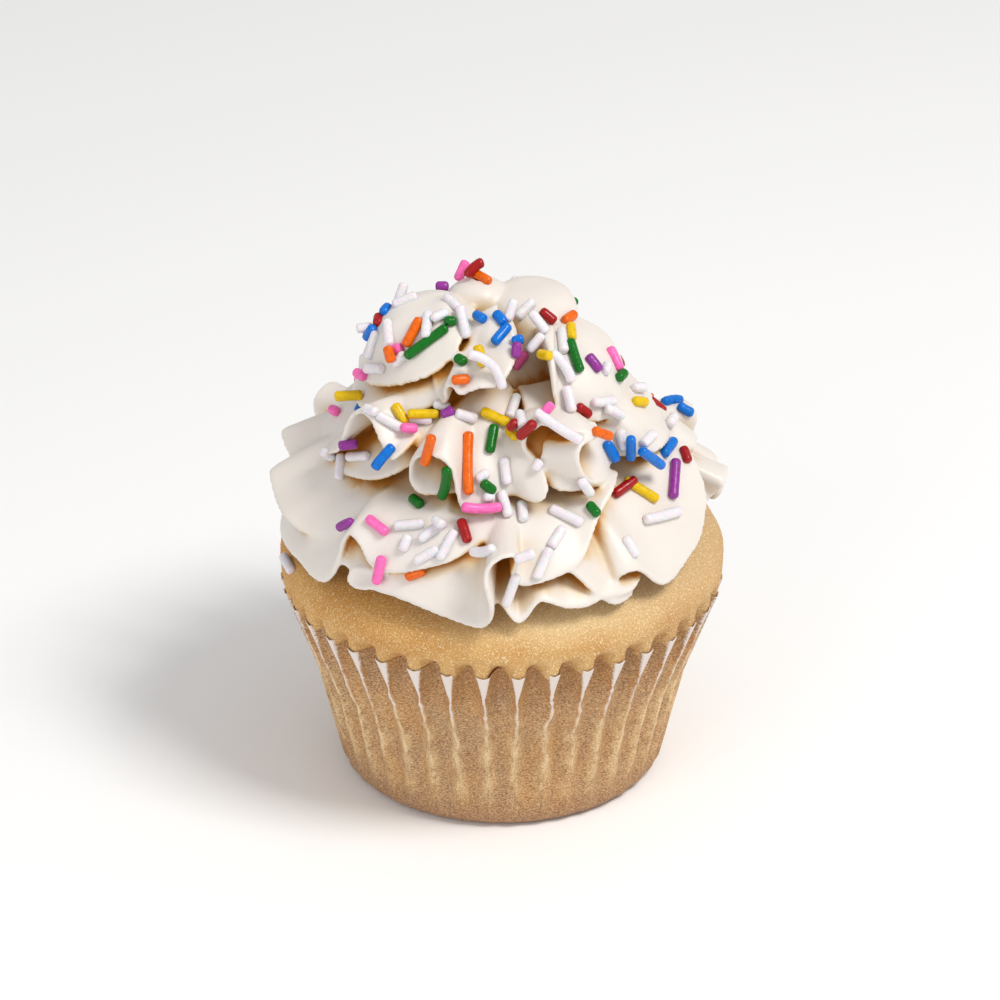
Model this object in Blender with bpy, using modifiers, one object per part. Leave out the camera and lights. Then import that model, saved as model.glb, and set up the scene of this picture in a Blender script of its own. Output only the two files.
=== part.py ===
"""Cupcake: a sponge cake baked in a fluted paper case, topped with piped whipped frosting.

Units are metres, +Z is up. The origin is the centre of the flat base on which the case rests.
Bearings are degrees round the Z axis: 0 is the front (-Y), +90 the right side (+X).
"""

import math

import bmesh
import bpy
import numpy as np

MM = 0.001
CLEARANCE = 0.3 * MM            # gap kept between two pieces that touch

# Paper case
FLUTES = 40
SIDES_PER_FLUTE = 3             # one crest and two points on the round valley
CASE_HEIGHT = 33.8 * MM
BASE_EDGE = 2.4 * MM            # size of the rounding of the bottom edge
KNEE_RADIUS = 30.85 * MM        # crest of a flute where the wall bends outwards
KNEE_HEIGHT = 19.0 * MM
LOWER_LEAN = 0.235              # outward lean of the wall below the knee
UPPER_LEAN = 0.365              # and above it
RIM_FLUTE_DEPTH = 3.4 * MM
BASE_FLUTE_DEPTH = 0.7 * MM
PAPER = 0.3 * MM                # the paper with the crumb that sticks to it
CASE_RINGS = (0.4 * MM, 2.4 * MM, 19.0 * MM)

# Sponge cake
CAKE_SIDES = 80
CAKE_BULGE_RADIUS = 36.2 * MM   # where the sponge swells over the rim
CAKE_BULGE_HEIGHT = 37.2 * MM
CAKE_SHOULDER_RADIUS = 34.2 * MM
CAKE_SHOULDER_HEIGHT = 40.8 * MM
CAKE_TOP = 46.0 * MM
LOBE_DEPTH = 0.35 * MM          # print of the flutes left in the swollen edge

# Frosting
MOUND = (                       # radius, height: the heaped middle that the petals grow from
    (27.0, 44.0), (26.0, 49.0), (22.0, 55.0), (17.0, 61.0), (13.0, 67.0),
    (9.0, 73.0), (6.0, 78.0), (2.0, 81.0),
)
MOUND_SIDES = 48
LIP = 1.6 * MM                  # thickness of a petal's free edge
PETAL_ROOT = 4.0 * MM           # and where it joins the mound
RIBBON_ROOT = 2.8 * MM
PETAL_ROWS = 14
COLUMN_STEP = 1.2 * MM
VOXEL = 0.8 * MM
FROSTING_TRIANGLES = 5100

# Each petal is a ribbon bent round the mound. root is the radius and height where it leaves the
# mound, lip its free edge as (bearing in degrees, radius, height), and each fold is (bearing, half
# width, lift in degrees, pinch, lean). cup bows it out, and tuck draws a lifted fold in.
PETALS = (
    dict(name="front", root=(21, 58), cup=0.12, tuck=0.25,
         lip=((-58, 32, 47), (-44, 34.6, 47.5), (-38.6, 35.2, 46), (-25.5, 35.3, 45.5),
              (-14.3, 35.3, 43.8), (-5.2, 35.3, 42.4), (4, 34.8, 49.2), (8.8, 34.9, 49.9),
              (13, 34.8, 50.5), (16.7, 34.4, 51), (20.2, 33.8, 51.6), (23, 33, 52.8),
              (25.5, 32, 54.7), (28, 31, 56.5), (31, 30, 58), (37, 28.5, 60), (45, 25.5, 61)),
         folds=((0.2, 5.6, 36, 0.45, -0.05),)),
    dict(name="under", root=(22, 51), cup=0.1, tuck=0.6,
         lip=((-6, 34, 46), (-1.2, 35.2, 47), (4.3, 35.4, 43.3), (9.9, 35.3, 46.9),
              (17.5, 35.3, 45.1), (21.9, 35.3, 44.9), (27, 35.3, 45.8), (35, 35, 45.3),
              (40, 34, 46.5))),
    dict(name="left_big", root=(15, 63), cup=0.04, tuck=0.6,
         lip=((-138, 33, 45.5), (-122, 34, 47.5), (-110, 34.8, 52), (-99, 36, 55.6),
              (-91, 34, 53.5), (-83, 37.4, 53.5), (-76, 37.2, 51.6), (-69.6, 36.8, 50.2),
              (-63, 35, 48.8), (-50, 31, 50.5), (-33, 29.5, 53), (-18, 27, 58))),
    dict(name="back", root=(20, 57), cup=0.12, tuck=0.6,
         lip=((80, 32, 48), (90, 34, 45.5), (100, 34, 45), (130, 34, 45), (180, 34, 45),
              (225, 34, 45), (250, 34.5, 46)),
         folds=((88, 7, 22, 0.5, 0), (107, 8, 14, 0.4, 0.1), (128, 7, 26, 0.3, -0.1),
                (149, 8, 42, 0.4, 0), (172, 7, 35, 0.3, 0.1), (193, 8, 40, 0.4, 0),
                (214, 7, 35, 0.35, -0.1), (233, 7, 38, 0.4, 0))),
    dict(name="mid_left", root=(11, 67), cup=0.15, tuck=0.2,
         lip=((-150, 25, 58), (-120, 26, 59), (-95, 28.5, 58.5), (-83, 28.7, 56.5), (-70, 28, 57),
              (-57.6, 27.5, 58.2), (-48, 27, 59.5), (-40, 26, 61.5), (-33, 24, 64)),
         folds=((-112, 9, 5, 0.2, 0),)),
    dict(name="mid_front", root=(10, 71), cup=0.15, tuck=0.3,
         lip=((-34, 24, 66.5), (-24, 23, 65.5), (-12, 22.5, 65), (-2, 22, 65), (3, 20, 66),
              (8, 18, 67))),
    dict(name="mouth", root=(12, 71), cup=0.2, tuck=0.6,
         lip=((12, 24, 64), (17, 26.3, 62), (24, 27, 61), (31.6, 27, 60.8), (38, 26, 60.8),
              (43, 24.5, 62), (47, 24.5, 63), (52, 27, 63), (60, 28, 62.5), (70, 27.5, 61.5),
              (80, 27, 60))),
    dict(name="mid_right", root=(11, 66), cup=0.15, tuck=0.6,
         lip=((60, 26, 61), (72, 28.5, 58), (82, 30, 56), (90, 30, 55.5), (100, 28, 55.5),
              (108, 26, 56)),
         folds=((85, 8, 8, 0.3, 0),)),
    dict(name="mid_back", root=(11, 65), cup=0.15, tuck=0.6,
         lip=((100, 25.5, 56), (140, 25, 56), (180, 25, 56), (212, 25, 57)),
         folds=((113, 8, 12, 0.3, 0), (131, 9, 18, 0.4, 0.1), (155, 9, 18, 0.4, -0.1),
                (178, 9, 20, 0.4, 0), (200, 8, 18, 0.3, 0))),
    dict(name="high_left", root=(7, 73), cup=0.2, tuck=0.6,
         lip=((-160, 17, 68), (-120, 20, 67.5), (-100, 22.5, 67.5), (-85, 23.5, 67),
              (-70, 23.5, 67.2), (-57, 23, 69.3), (-44, 22, 70.5), (-34, 20, 71.5), (-28, 17, 73)),
         folds=((-110, 9, 12, 0.3, 0), (-140, 9, 12, 0.3, 0))),
    dict(name="high_front", root=(6, 79), cup=0.15, tuck=0.6,
         lip=((-40, 17, 76), (-28, 19.5, 72.5), (-20, 20, 74.5), (-10, 20, 76.5), (-2, 19.8, 77),
              (4, 18, 78.5), (9, 15, 80)),
         folds=((-23, 5, 12, 0.3, 0),)),
    dict(name="high_right", root=(4, 78.5), cup=0.24, tuck=0.6, centre=(6, 0),
         lip=((6, 17.5, 79.5), (6.6, 18, 76.5), (7.2, 18.8, 73.5), (12, 19.2, 71),
              (26, 19.2, 69.5), (40, 18.2, 68.8), (52, 17, 67.8), (64, 15.3, 68), (78, 13, 70))),
    dict(name="high_side", root=(7, 71), cup=0.2, tuck=0.6,
         lip=((52, 20, 68), (60, 22.5, 65.5), (72, 23.5, 63.5), (84, 22.8, 63), (100, 20.5, 64),
              (120, 18, 65)),
         folds=((95, 9, 8, 0.3, 0),)),
    dict(name="high_back", root=(6, 73), cup=0.2, tuck=0.6,
         lip=((104, 16.5, 65), (140, 16, 66), (180, 16, 66), (212, 16, 67)),
         folds=((122, 9, 10, 0.3, 0), (146, 9, 14, 0.3, 0), (170, 9, 14, 0.4, 0),
                (194, 9, 12, 0.3, 0))),
    dict(name="crown_left", root=(0.6, 82.6), cup=0.26, tuck=0.6, centre=(-10, -3),
         lip=((-170, 9, 75), (-120, 11.2, 73), (-90, 12.8, 71.8), (-60, 12.8, 72),
              (-38, 12.4, 73.2), (-17, 12.4, 75.2), (0, 12.2, 77.2), (12, 11.4, 79.4),
              (23, 9.6, 81.5), (50, 6.2, 82.3), (100, 4.6, 82), (150, 6.5, 79), (190, 9, 75))),
    dict(name="crown_right", root=(0.4, 81.8), cup=0.42, tuck=0.6, centre=(5, 2.5),
         lip=((-150, 6.2, 76), (-100, 6.2, 75), (-40, 6.8, 74), (0, 7.4, 73.5), (50, 6.6, 74),
              (100, 5.8, 76), (150, 5.8, 76), (210, 6.2, 76))),
    dict(name="tongue", root=(0.6, 83), cup=0.2, tuck=0.6, centre=(-0.8, -6.5),
         lip=((-75, 3.2, 81.5), (-42, 5.2, 78.6), (-22, 7.2, 76.4), (-5, 8.8, 75.2), (10, 8, 76.4),
              (22, 6, 78.8), (45, 3.8, 82)),
         folds=((-44, 20, 20, 0, 0), (26, 16, 20, 0, 0))),
    dict(name="crown_back", root=(0.6, 82.9), cup=0.3, tuck=0.6, centre=(-3.6, 2.5),
         lip=((-180, 5, 78), (-120, 5, 77), (-60, 4.6, 78), (0, 3.6, 80), (60, 3.8, 79),
              (120, 5, 77), (180, 5, 78))),
)

# Each ribbon is a petal whose free edge doubles back. lip is that edge from end to end, and root the
# line that it hangs from as (share of the edge, bearing, radius, height). relax is the length over
# which the curls of the lip die away towards the root.
RIBBONS = (
    dict(name="right", cup=0.1, relax=4, power=1.6,
         root=((0, 10, 21, 59), (0.36, 29, 21, 58), (0.47, 33, 20.5, 58.5), (0.58, 38, 20.5, 59),
               (1, 86, 20, 62)),
         lip=((8, 30.5, 54), (14, 33.5, 52), (17.5, 34.2, 51), (20.5, 34.8, 49.3),
              (23, 35.2, 47.6), (25.7, 35.4, 45.9), (28.5, 35.5, 44.4), (30.6, 35.4, 43.8),
              (33.3, 35, 43.7), (36.3, 34.4, 43.9), (38, 33.6, 44.8), (36.8, 33, 45.8),
              (34.4, 33, 46.2), (32.4, 33.5, 46.3), (31.8, 34.4, 47.3), (33, 35.1, 48.6),
              (36, 35.5, 48.8), (39.4, 35.7, 47.6), (42.4, 35.8, 45.6), (45, 35.8, 44.4),
              (48.8, 35.6, 44.1), (53.2, 35.3, 44.8), (58, 35.2, 46), (62, 35.3, 47),
              (67.7, 35, 49.7), (72, 34.3, 53), (76, 32.3, 56.5), (82, 28.5, 60), (88, 24, 63))),
    dict(name="left_low", cup=0.12, relax=5, power=1.6,
         root=((0, -104, 25, 54), (0.45, -52, 25, 56), (0.6, -44, 24.5, 57.5), (1, -4, 24, 58)),
         lip=((-108, 33, 46), (-95, 35, 44), (-84, 36, 42.3), (-77.9, 36, 42.6), (-63.7, 36, 43.4),
              (-57, 36, 42.8), (-51.2, 36, 43.4), (-48, 35.8, 45.5), (-46.6, 35.5, 48.6),
              (-45.8, 35.2, 51.4), (-43.2, 34.8, 53.5), (-39.5, 35, 52.3), (-36.9, 35.2, 50.3),
              (-33.4, 35.3, 49.3), (-27, 35, 49.8), (-20.3, 34.5, 51.3), (-14, 33.6, 52.6),
              (-9, 32, 54), (-3, 30, 55.5))),
    dict(name="roll_left", cup=0, relax=3, power=1,
         root=((0, -34, 27, 52.5), (0.4, -38, 27, 52), (0.7, -38, 27, 50), (1, -33, 27, 50)),
         lip=((-31, 34.8, 48.8), (-36, 35, 48.4), (-39.2, 35.3, 48.2), (-41.8, 35.8, 47.5),
              (-42.5, 36.2, 46.2), (-40.4, 36.3, 45.4), (-37.2, 36.2, 45.6), (-34.2, 35.8, 46.4),
              (-31, 35.2, 47.2))),
    dict(name="pocket", cup=0.12, relax=4, power=1.6,
         root=((0, -76, 14, 66), (0.5, -52, 13, 69), (1, -38, 13, 69)),
         lip=((-84, 29, 55.5), (-76, 29.5, 58), (-67, 29.7, 60.8), (-60.5, 30, 63),
              (-58.2, 29.9, 65.2), (-57.4, 29.2, 68.2), (-55.5, 28.6, 70), (-52, 28, 70.9),
              (-47.5, 28, 70.5), (-44.3, 28.2, 68.7), (-40.7, 28.5, 66.8), (-37.5, 28.5, 65.2),
              (-35.5, 27.3, 65.9), (-34, 25, 67))),
    dict(name="roll", cup=0.12, relax=3, power=1.6,
         root=((0, -14, 15, 66), (0.12, -27, 13, 68), (0.3, -24, 12, 71), (0.43, -14, 11, 71.5),
               (0.55, -3, 13, 70), (0.62, 1, 14.5, 68.5), (0.7, 4, 17, 67), (0.82, 10, 18, 70),
               (1, 28, 17, 71)),
         lip=((-11, 25, 61.4), (-14.2, 26, 61.1), (-18, 26.4, 60.7), (-22.3, 26.9, 60.3),
              (-26.4, 27.2, 60), (-29.6, 27.7, 60.8), (-31.2, 28, 62.8), (-30.8, 28, 65.2),
              (-28, 28.2, 66.9), (-23.6, 28.3, 67.8), (-19, 28.3, 67.4), (-16.2, 28.2, 65.8),
              (-15, 28, 63.5), (-14.2, 28.2, 61.2), (-12.2, 28.3, 59), (-8.5, 28, 59.1),
              (-4.5, 27.2, 59.4), (-1, 26, 59.7), (2, 25, 60), (5, 25.2, 60.2), (8.3, 26.8, 60.2),
              (11, 28, 60.3), (13.4, 28.4, 61), (15, 28, 62.7), (14.7, 27, 64.4),
              (12.7, 25.6, 65.9), (9.6, 24.6, 66.9), (8.1, 24.4, 68.6), (8.7, 24.9, 70.6),
              (11.3, 25.7, 72.1), (14, 26, 73), (19, 27.2, 72.4), (25, 28, 71.4), (31, 28.3, 70.6),
              (36, 27.5, 69))),
    dict(name="trumpet", cup=-0.05, relax=2.5, power=1.4,
         root=((0, 20, 23, 68.8), (0.25, 16.5, 24, 68.5), (0.45, 15, 24.8, 67.2),
               (0.6, 15, 24.8, 65.7), (0.8, 17, 24, 64.3), (1, 20, 23, 64.5)),
         lip=((36, 25, 71), (32.3, 28, 70.3), (27.7, 28.9, 70.5), (24.5, 29.5, 69.6),
              (24.1, 29.6, 68), (25.1, 29.3, 65.9), (28, 28.6, 63.6), (32.4, 27.8, 61.8),
              (36.8, 27, 61.3), (39.6, 26, 62.1), (38.8, 25.3, 63.4), (35, 25, 63.8))),
)


def material(name, colour, roughness):
    """A plain finish for one piece."""
    made = bpy.data.materials.new(name)
    made.use_nodes = True
    surface = made.node_tree.nodes["Principled BSDF"]
    surface.inputs["Base Color"].default_value = (*colour, 1.0)
    surface.inputs["Roughness"].default_value = roughness
    surface.inputs["Metallic"].default_value = 0.0
    return made


def add_object(name, mesh, collection):
    made = bpy.data.objects.new(name, mesh)
    collection.objects.link(made)
    return made


def baked(source):
    """The mesh of an object with its modifiers applied."""
    graph = bpy.context.evaluated_depsgraph_get()
    return bpy.data.meshes.new_from_object(source.evaluated_get(graph))


def finish_mesh(made, name, finish, smooth_below):
    """Replaces an object's mesh by its evaluated one, shaded and with its material."""
    mesh = baked(made)
    made.modifiers.clear()
    made.data = mesh
    mesh.name = name
    mesh.materials.clear()
    mesh.materials.append(finish)
    mesh.shade_smooth()
    mesh.set_sharp_from_angle(angle=math.radians(smooth_below))


def turned(name, profile, sides, collection):
    """A closed turned body from (radius, height) points that run down its outer side."""
    mesh = bpy.data.meshes.new(name)
    outline = bmesh.new()
    points = [outline.verts.new((radius, 0.0, height)) for radius, height in profile]
    for above, below in zip(points, points[1:]):
        outline.edges.new((above, below))
    outline.to_mesh(mesh)
    outline.free()
    made = add_object(name, mesh, collection)
    screw = made.modifiers.new("Turn", "SCREW")
    screw.steps = sides
    screw.render_steps = sides
    screw.use_merge_vertices = True
    screw.merge_threshold = 0.00001
    return made


# Paper case -----------------------------------------------------------------------------------

def case_radius(height):
    """Radius of the flutes' crests at a height."""
    lean = LOWER_LEAN if height < KNEE_HEIGHT else UPPER_LEAN
    radius = KNEE_RADIUS + (height - KNEE_HEIGHT) * lean
    if height < BASE_EDGE:
        drop = 1.0 - height / BASE_EDGE
        radius = KNEE_RADIUS - (KNEE_HEIGHT - BASE_EDGE) * LOWER_LEAN
        radius -= BASE_EDGE * (1.0 - math.sqrt(max(0.0, 1.0 - drop * drop)))
    return radius


def flute_depth(height):
    """Depth from a crest to the valley next to it."""
    rise = max(0.0, height - BASE_EDGE) / (CASE_HEIGHT - BASE_EDGE)
    start = BASE_FLUTE_DEPTH * min(1.0, height / BASE_EDGE)
    return start + (RIM_FLUTE_DEPTH - BASE_FLUTE_DEPTH) * rise


def make_paper_case(collection):
    sides = FLUTES * SIDES_PER_FLUTE
    cup = bmesh.new()
    bmesh.ops.create_cone(cup, cap_ends=True, segments=sides, radius1=case_radius(0.0),
                          radius2=case_radius(CASE_HEIGHT), depth=CASE_HEIGHT)
    bmesh.ops.translate(cup, verts=cup.verts, vec=(0, 0, CASE_HEIGHT / 2))
    mouth = [face for face in cup.faces if face.normal.z > 0.9]
    bmesh.ops.delete(cup, geom=mouth, context="FACES_ONLY")
    for height in CASE_RINGS:
        bmesh.ops.bisect_plane(cup, geom=cup.verts[:] + cup.edges[:] + cup.faces[:],
                               plane_co=(0, 0, height), plane_no=(0, 0, 1))
    for point in cup.verts:
        bearing = math.atan2(point.co.x, -point.co.y)
        column = round(bearing / math.tau * sides)
        depth = flute_depth(point.co.z) if column % SIDES_PER_FLUTE else 0.0
        radius = case_radius(point.co.z) - depth
        point.co.x = radius * math.sin(bearing)
        point.co.y = -radius * math.cos(bearing)
    mesh = bpy.data.meshes.new("paper_case")
    cup.to_mesh(mesh)
    cup.free()
    made = add_object("paper_case", mesh, collection)
    wall = made.modifiers.new("Paper thickness", "SOLIDIFY")
    wall.thickness = PAPER
    wall.offset = -1.0
    finish_mesh(made, "paper_case", material("case paper", (0.68, 0.50, 0.31), 0.7), 40)
    return made


# Sponge cake ----------------------------------------------------------------------------------

def cake_wall(height):
    """Radius of the sponge inside the case, clear of the flutes' valleys."""
    return case_radius(height) - flute_depth(height) - PAPER - CLEARANCE - 0.25 * MM


def cake_profile(clear=0.0):
    """Half section from the top down: domed top, swollen edge, wall and flat bottom."""
    bottom = PAPER + CLEARANCE
    ledge = CASE_HEIGHT + CLEARANCE
    return (
        (0.0, CAKE_TOP + clear),
        (14.0 * MM, CAKE_TOP - 0.5 * MM + clear),
        (24.0 * MM, CAKE_TOP - 1.4 * MM + clear),
        (30.5 * MM + clear * 0.3, CAKE_TOP - 2.8 * MM + clear),
        (CAKE_SHOULDER_RADIUS + clear * 0.8, CAKE_SHOULDER_HEIGHT + 0.9 * MM + clear * 0.8),
        (CAKE_BULGE_RADIUS - 0.5 * MM + clear, CAKE_SHOULDER_HEIGHT - 1.3 * MM + clear * 0.4),
        (CAKE_BULGE_RADIUS + clear, CAKE_BULGE_HEIGHT),
        (CAKE_BULGE_RADIUS - 0.5 * MM + clear, CAKE_BULGE_HEIGHT - 1.6 * MM),
        (case_radius(CASE_HEIGHT) - 1.4 * MM, ledge + 0.25 * MM),
        (cake_wall(CASE_HEIGHT), ledge),
        (cake_wall(KNEE_HEIGHT), KNEE_HEIGHT),
        (cake_wall(BASE_EDGE + PAPER), BASE_EDGE + PAPER),
        (cake_wall(BASE_EDGE) - 1.5 * MM, bottom),
        (0.0, bottom),
    )


def make_cake(collection):
    made = turned("cake", cake_profile(), CAKE_SIDES, collection)
    finish_mesh(made, "cake", material("golden sponge", (0.62, 0.38, 0.14), 0.8), 50)
    for point in made.data.vertices:
        x, y, z = point.co
        radius = math.hypot(x, y)
        edge = 1.0 - abs(z - CAKE_BULGE_HEIGHT + 1.6 * MM) / (3.2 * MM)
        if radius < case_radius(CASE_HEIGHT) - 2.2 * MM or edge <= 0.0:
            continue
        lobe = LOBE_DEPTH * edge * math.cos(FLUTES * math.atan2(x, -y))
        point.co.x = x * (radius - LOBE_DEPTH * edge + lobe) / radius
        point.co.y = y * (radius - LOBE_DEPTH * edge + lobe) / radius
    return made


# Frosting -------------------------------------------------------------------------------------

def flow(places, at, value):
    """A smooth curve through the keys that never overshoots them."""
    at, value = np.array(at, float), np.array(value, float)
    gap = np.diff(at)
    rise = np.diff(value) / gap
    steep = np.zeros(len(at))
    steep[0], steep[-1] = rise[0], rise[-1]
    for n in range(1, len(at) - 1):
        if rise[n - 1] * rise[n] > 0:
            near, far = 2 * gap[n] + gap[n - 1], gap[n] + 2 * gap[n - 1]
            steep[n] = (near + far) / (near / rise[n - 1] + far / rise[n])
    left = np.clip(np.searchsorted(at, places, side="right") - 1, 0, len(at) - 2)
    share = np.clip((places - at[left]) / gap[left], 0, 1)
    ease = share * share * (3 - 2 * share)
    bend = share * (1 - share) * gap[left]
    between = bend * ((1 - share) * steep[left] - share * steep[left + 1])
    return value[left] * (1 - ease) + value[left + 1] * ease + between


def bent_round(bearing, radius, height):
    """Points, in millimetres, from bearings in degrees, radii and heights."""
    around = np.radians(bearing)
    return np.stack([radius * np.sin(around), -radius * np.cos(around), height], -1)


def petal_length(petal):
    lip = petal["lip"]
    return math.radians(lip[-1][0] - lip[0][0]) * max(key[1] for key in lip)


def petal_surface(petal, columns, rows):
    """Middle surface of a petal, in millimetres, as a (columns, rows, 3) array."""
    lip = np.array(petal["lip"], float)
    bearing = np.linspace(lip[0, 0], lip[-1, 0], columns)
    across = np.linspace(0, 1, rows)[None, :]
    root_radius, root_height = petal["root"]
    reach = (flow(bearing, lip[:, 0], lip[:, 1]) - root_radius)[:, None]
    rise = (flow(bearing, lip[:, 0], lip[:, 2]) - root_height)[:, None]
    crown = 4 * petal["cup"] * across * (1 - across)
    outward = reach * across - rise * crown
    upward = rise * across + reach * crown
    lift = np.zeros(columns)
    slide = np.zeros(columns)
    for centre, half, degrees, pinch, lean in petal.get("folds", ()):
        u = np.clip((bearing - centre) / half, -1, 1)
        bump = np.cos(np.pi * u / 2) ** 2
        lift += degrees * bump
        slide += half * (pinch * np.sin(2 * np.pi * u) * (1 - u * u) + lean * bump)
    turn = np.radians(lift)[:, None] * across
    drawn = 1 - petal["tuck"] * (1 - np.cos(turn))
    radius = root_radius + drawn * (outward * np.cos(turn) - upward * np.sin(turn))
    height = root_height + drawn * (outward * np.sin(turn) + upward * np.cos(turn))
    around = bearing[:, None] + slide[:, None] * across ** 1.5
    middle_x, middle_y = petal.get("centre", (0, 0))
    return bent_round(around, radius, height) + np.array([middle_x, middle_y, 0.0])


def ribbon_steps(ribbon):
    """Distance along a ribbon's lip to each of its keys, in millimetres."""
    lip = np.array(ribbon["lip"], float)
    points = bent_round(lip[:, 0], lip[:, 1], lip[:, 2])
    lengths = np.linalg.norm(np.diff(points, axis=0), axis=1)
    return np.concatenate([[0.0], np.cumsum(lengths)])


def ribbon_surface(ribbon, columns, rows):
    """Middle surface of a ribbon, ruled from its root line to its curling lip."""
    lip = np.array(ribbon["lip"], float)
    steps = ribbon_steps(ribbon)
    travelled = np.linspace(0, steps[-1], columns)
    edge = np.stack([flow(travelled, steps, lip[:, k]) for k in range(3)], -1)
    spread = ribbon["relax"] / (travelled[1] - travelled[0])
    reach = min(columns - 1, int(3 * spread) + 1)
    weight = np.exp(-0.5 * (np.arange(-reach, reach + 1) / spread) ** 2)
    weight /= weight.sum()
    before = 2 * edge[0] - edge[reach:0:-1]
    after = 2 * edge[-1] - edge[-2:-reach - 2:-1]
    longer = np.concatenate([before, edge, after])
    calm = np.stack([np.convolve(longer[:, k], weight, mode="valid") for k in range(3)], -1)
    line = np.array(ribbon["root"], float)
    share = travelled / steps[-1]
    root = np.stack([np.interp(share, line[:, 0], line[:, k]) for k in (1, 2, 3)], -1)
    across = np.linspace(0, 1, rows)[None, :, None]
    run = calm - root
    sheet = root[:, None] + run[:, None] * across
    sheet = sheet + (edge - calm)[:, None] * across ** ribbon["power"]
    crown = 4 * ribbon["cup"] * across[..., 0] * (1 - across[..., 0])
    sheet[..., 1] -= run[:, None, 2] * crown
    sheet[..., 2] += run[:, None, 1] * crown
    return bent_round(sheet[..., 0], sheet[..., 1], sheet[..., 2])


def thickened(name, surface, root, collection):
    """A grid laid on a surface and thickened from its lip to its root."""
    columns, rows = surface.shape[:2]
    points = surface.reshape(-1, 3) * MM
    sheet = bmesh.new()
    bmesh.ops.create_grid(sheet, x_segments=columns - 1, y_segments=rows - 1, size=1.0)
    sheet.verts.ensure_lookup_table()
    order = sorted(range(len(points)),
                   key=lambda i: (round(sheet.verts[i].co.x, 5), round(sheet.verts[i].co.y, 5)))
    for place, index in enumerate(order):
        sheet.verts[index].co = points[place]
    mesh = bpy.data.meshes.new(name)
    sheet.to_mesh(mesh)
    sheet.free()
    made = add_object(name, mesh, collection)
    weight = made.vertex_groups.new(name="thickness")
    for place, index in enumerate(order):
        across = (place % rows) / (rows - 1)
        weight.add([index], (LIP + (root - LIP) * (1 - across) ** 1.5) / root, "REPLACE")
    body = made.modifiers.new("Thickness", "SOLIDIFY")
    body.thickness = root
    body.offset = 0.0
    body.vertex_group = "thickness"
    return made


def make_petal(petal, collection):
    columns = max(12, int(petal_length(petal) * MM / COLUMN_STEP))
    surface = petal_surface(petal, columns, PETAL_ROWS)
    return thickened("petal", surface, PETAL_ROOT, collection)


def make_ribbon(ribbon, collection):
    columns = max(12, int(ribbon_steps(ribbon)[-1] * MM / COLUMN_STEP))
    surface = ribbon_surface(ribbon, columns, PETAL_ROWS)
    return thickened("ribbon", surface, RIBBON_ROOT, collection)


def keep_largest_shell(mesh):
    """Removes closed-in pockets and loose crumbs, so that one outer skin is left."""
    shell = bmesh.new()
    shell.from_mesh(mesh)
    unseen = set(shell.verts)
    groups = []
    while unseen:
        stack = [unseen.pop()]
        group = set(stack)
        while stack:
            for edge in stack.pop().link_edges:
                for point in edge.verts:
                    if point in unseen:
                        unseen.discard(point)
                        group.add(point)
                        stack.append(point)
        groups.append(group)
    groups.sort(key=len, reverse=True)
    spare = [point for group in groups[1:] for point in group]
    bmesh.ops.delete(shell, geom=spare, context="VERTS")
    shell.to_mesh(mesh)
    shell.free()


def make_frosting(collection, cutters):
    mound = [(0.0, MOUND[-1][1] * MM + 0.5 * MM)]
    mound += [(radius * MM, height * MM) for radius, height in reversed(MOUND)]
    mound += [(MOUND[0][0] * MM, CAKE_SHOULDER_HEIGHT), (0.0, CAKE_SHOULDER_HEIGHT)]
    pieces = [turned("mound", mound, MOUND_SIDES, cutters)]
    pieces += [make_petal(petal, cutters) for petal in PETALS]
    pieces += [make_ribbon(ribbon, cutters) for ribbon in RIBBONS]
    joined = bmesh.new()
    for piece in pieces:
        joined.from_mesh(baked(piece))
        bpy.data.objects.remove(piece)
    mesh = bpy.data.meshes.new("frosting")
    joined.to_mesh(mesh)
    joined.free()
    made = add_object("frosting", mesh, collection)

    fused = made.modifiers.new("Fuse", "REMESH")
    fused.mode = "VOXEL"
    fused.voxel_size = VOXEL
    made.data = baked(made)
    made.modifiers.clear()
    keep_largest_shell(made.data)

    triangles = sum(len(face.vertices) - 2 for face in made.data.polygons)
    coarser = made.modifiers.new("Coarser", "DECIMATE")
    coarser.ratio = FROSTING_TRIANGLES / triangles
    made.data = baked(made)
    made.modifiers.clear()

    seat = turned("cake_seat", cake_profile(CLEARANCE), CAKE_SIDES, cutters)
    seat.hide_render = True
    seat.display_type = "WIRE"
    cut = made.modifiers.new("Rest on the sponge", "BOOLEAN")
    cut.operation = "DIFFERENCE"
    cut.object = seat
    cut.solver = "EXACT"
    finish_mesh(made, "frosting", material("whipped frosting", (0.88, 0.83, 0.74), 0.45), 60)
    keep_largest_shell(made.data)
    return made


def main():
    for old in list(bpy.data.objects):
        bpy.data.objects.remove(old)
    cupcake = bpy.data.collections.new("cupcake")
    cutters = bpy.data.collections.new("cutters")
    bpy.context.scene.collection.children.link(cupcake)
    bpy.context.scene.collection.children.link(cutters)
    make_paper_case(cupcake)
    make_cake(cupcake)
    make_frosting(cupcake, cutters)


main()
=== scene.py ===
import math

import bpy
import numpy as np
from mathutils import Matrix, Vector, noise
from mathutils.bvhtree import BVHTree


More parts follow.
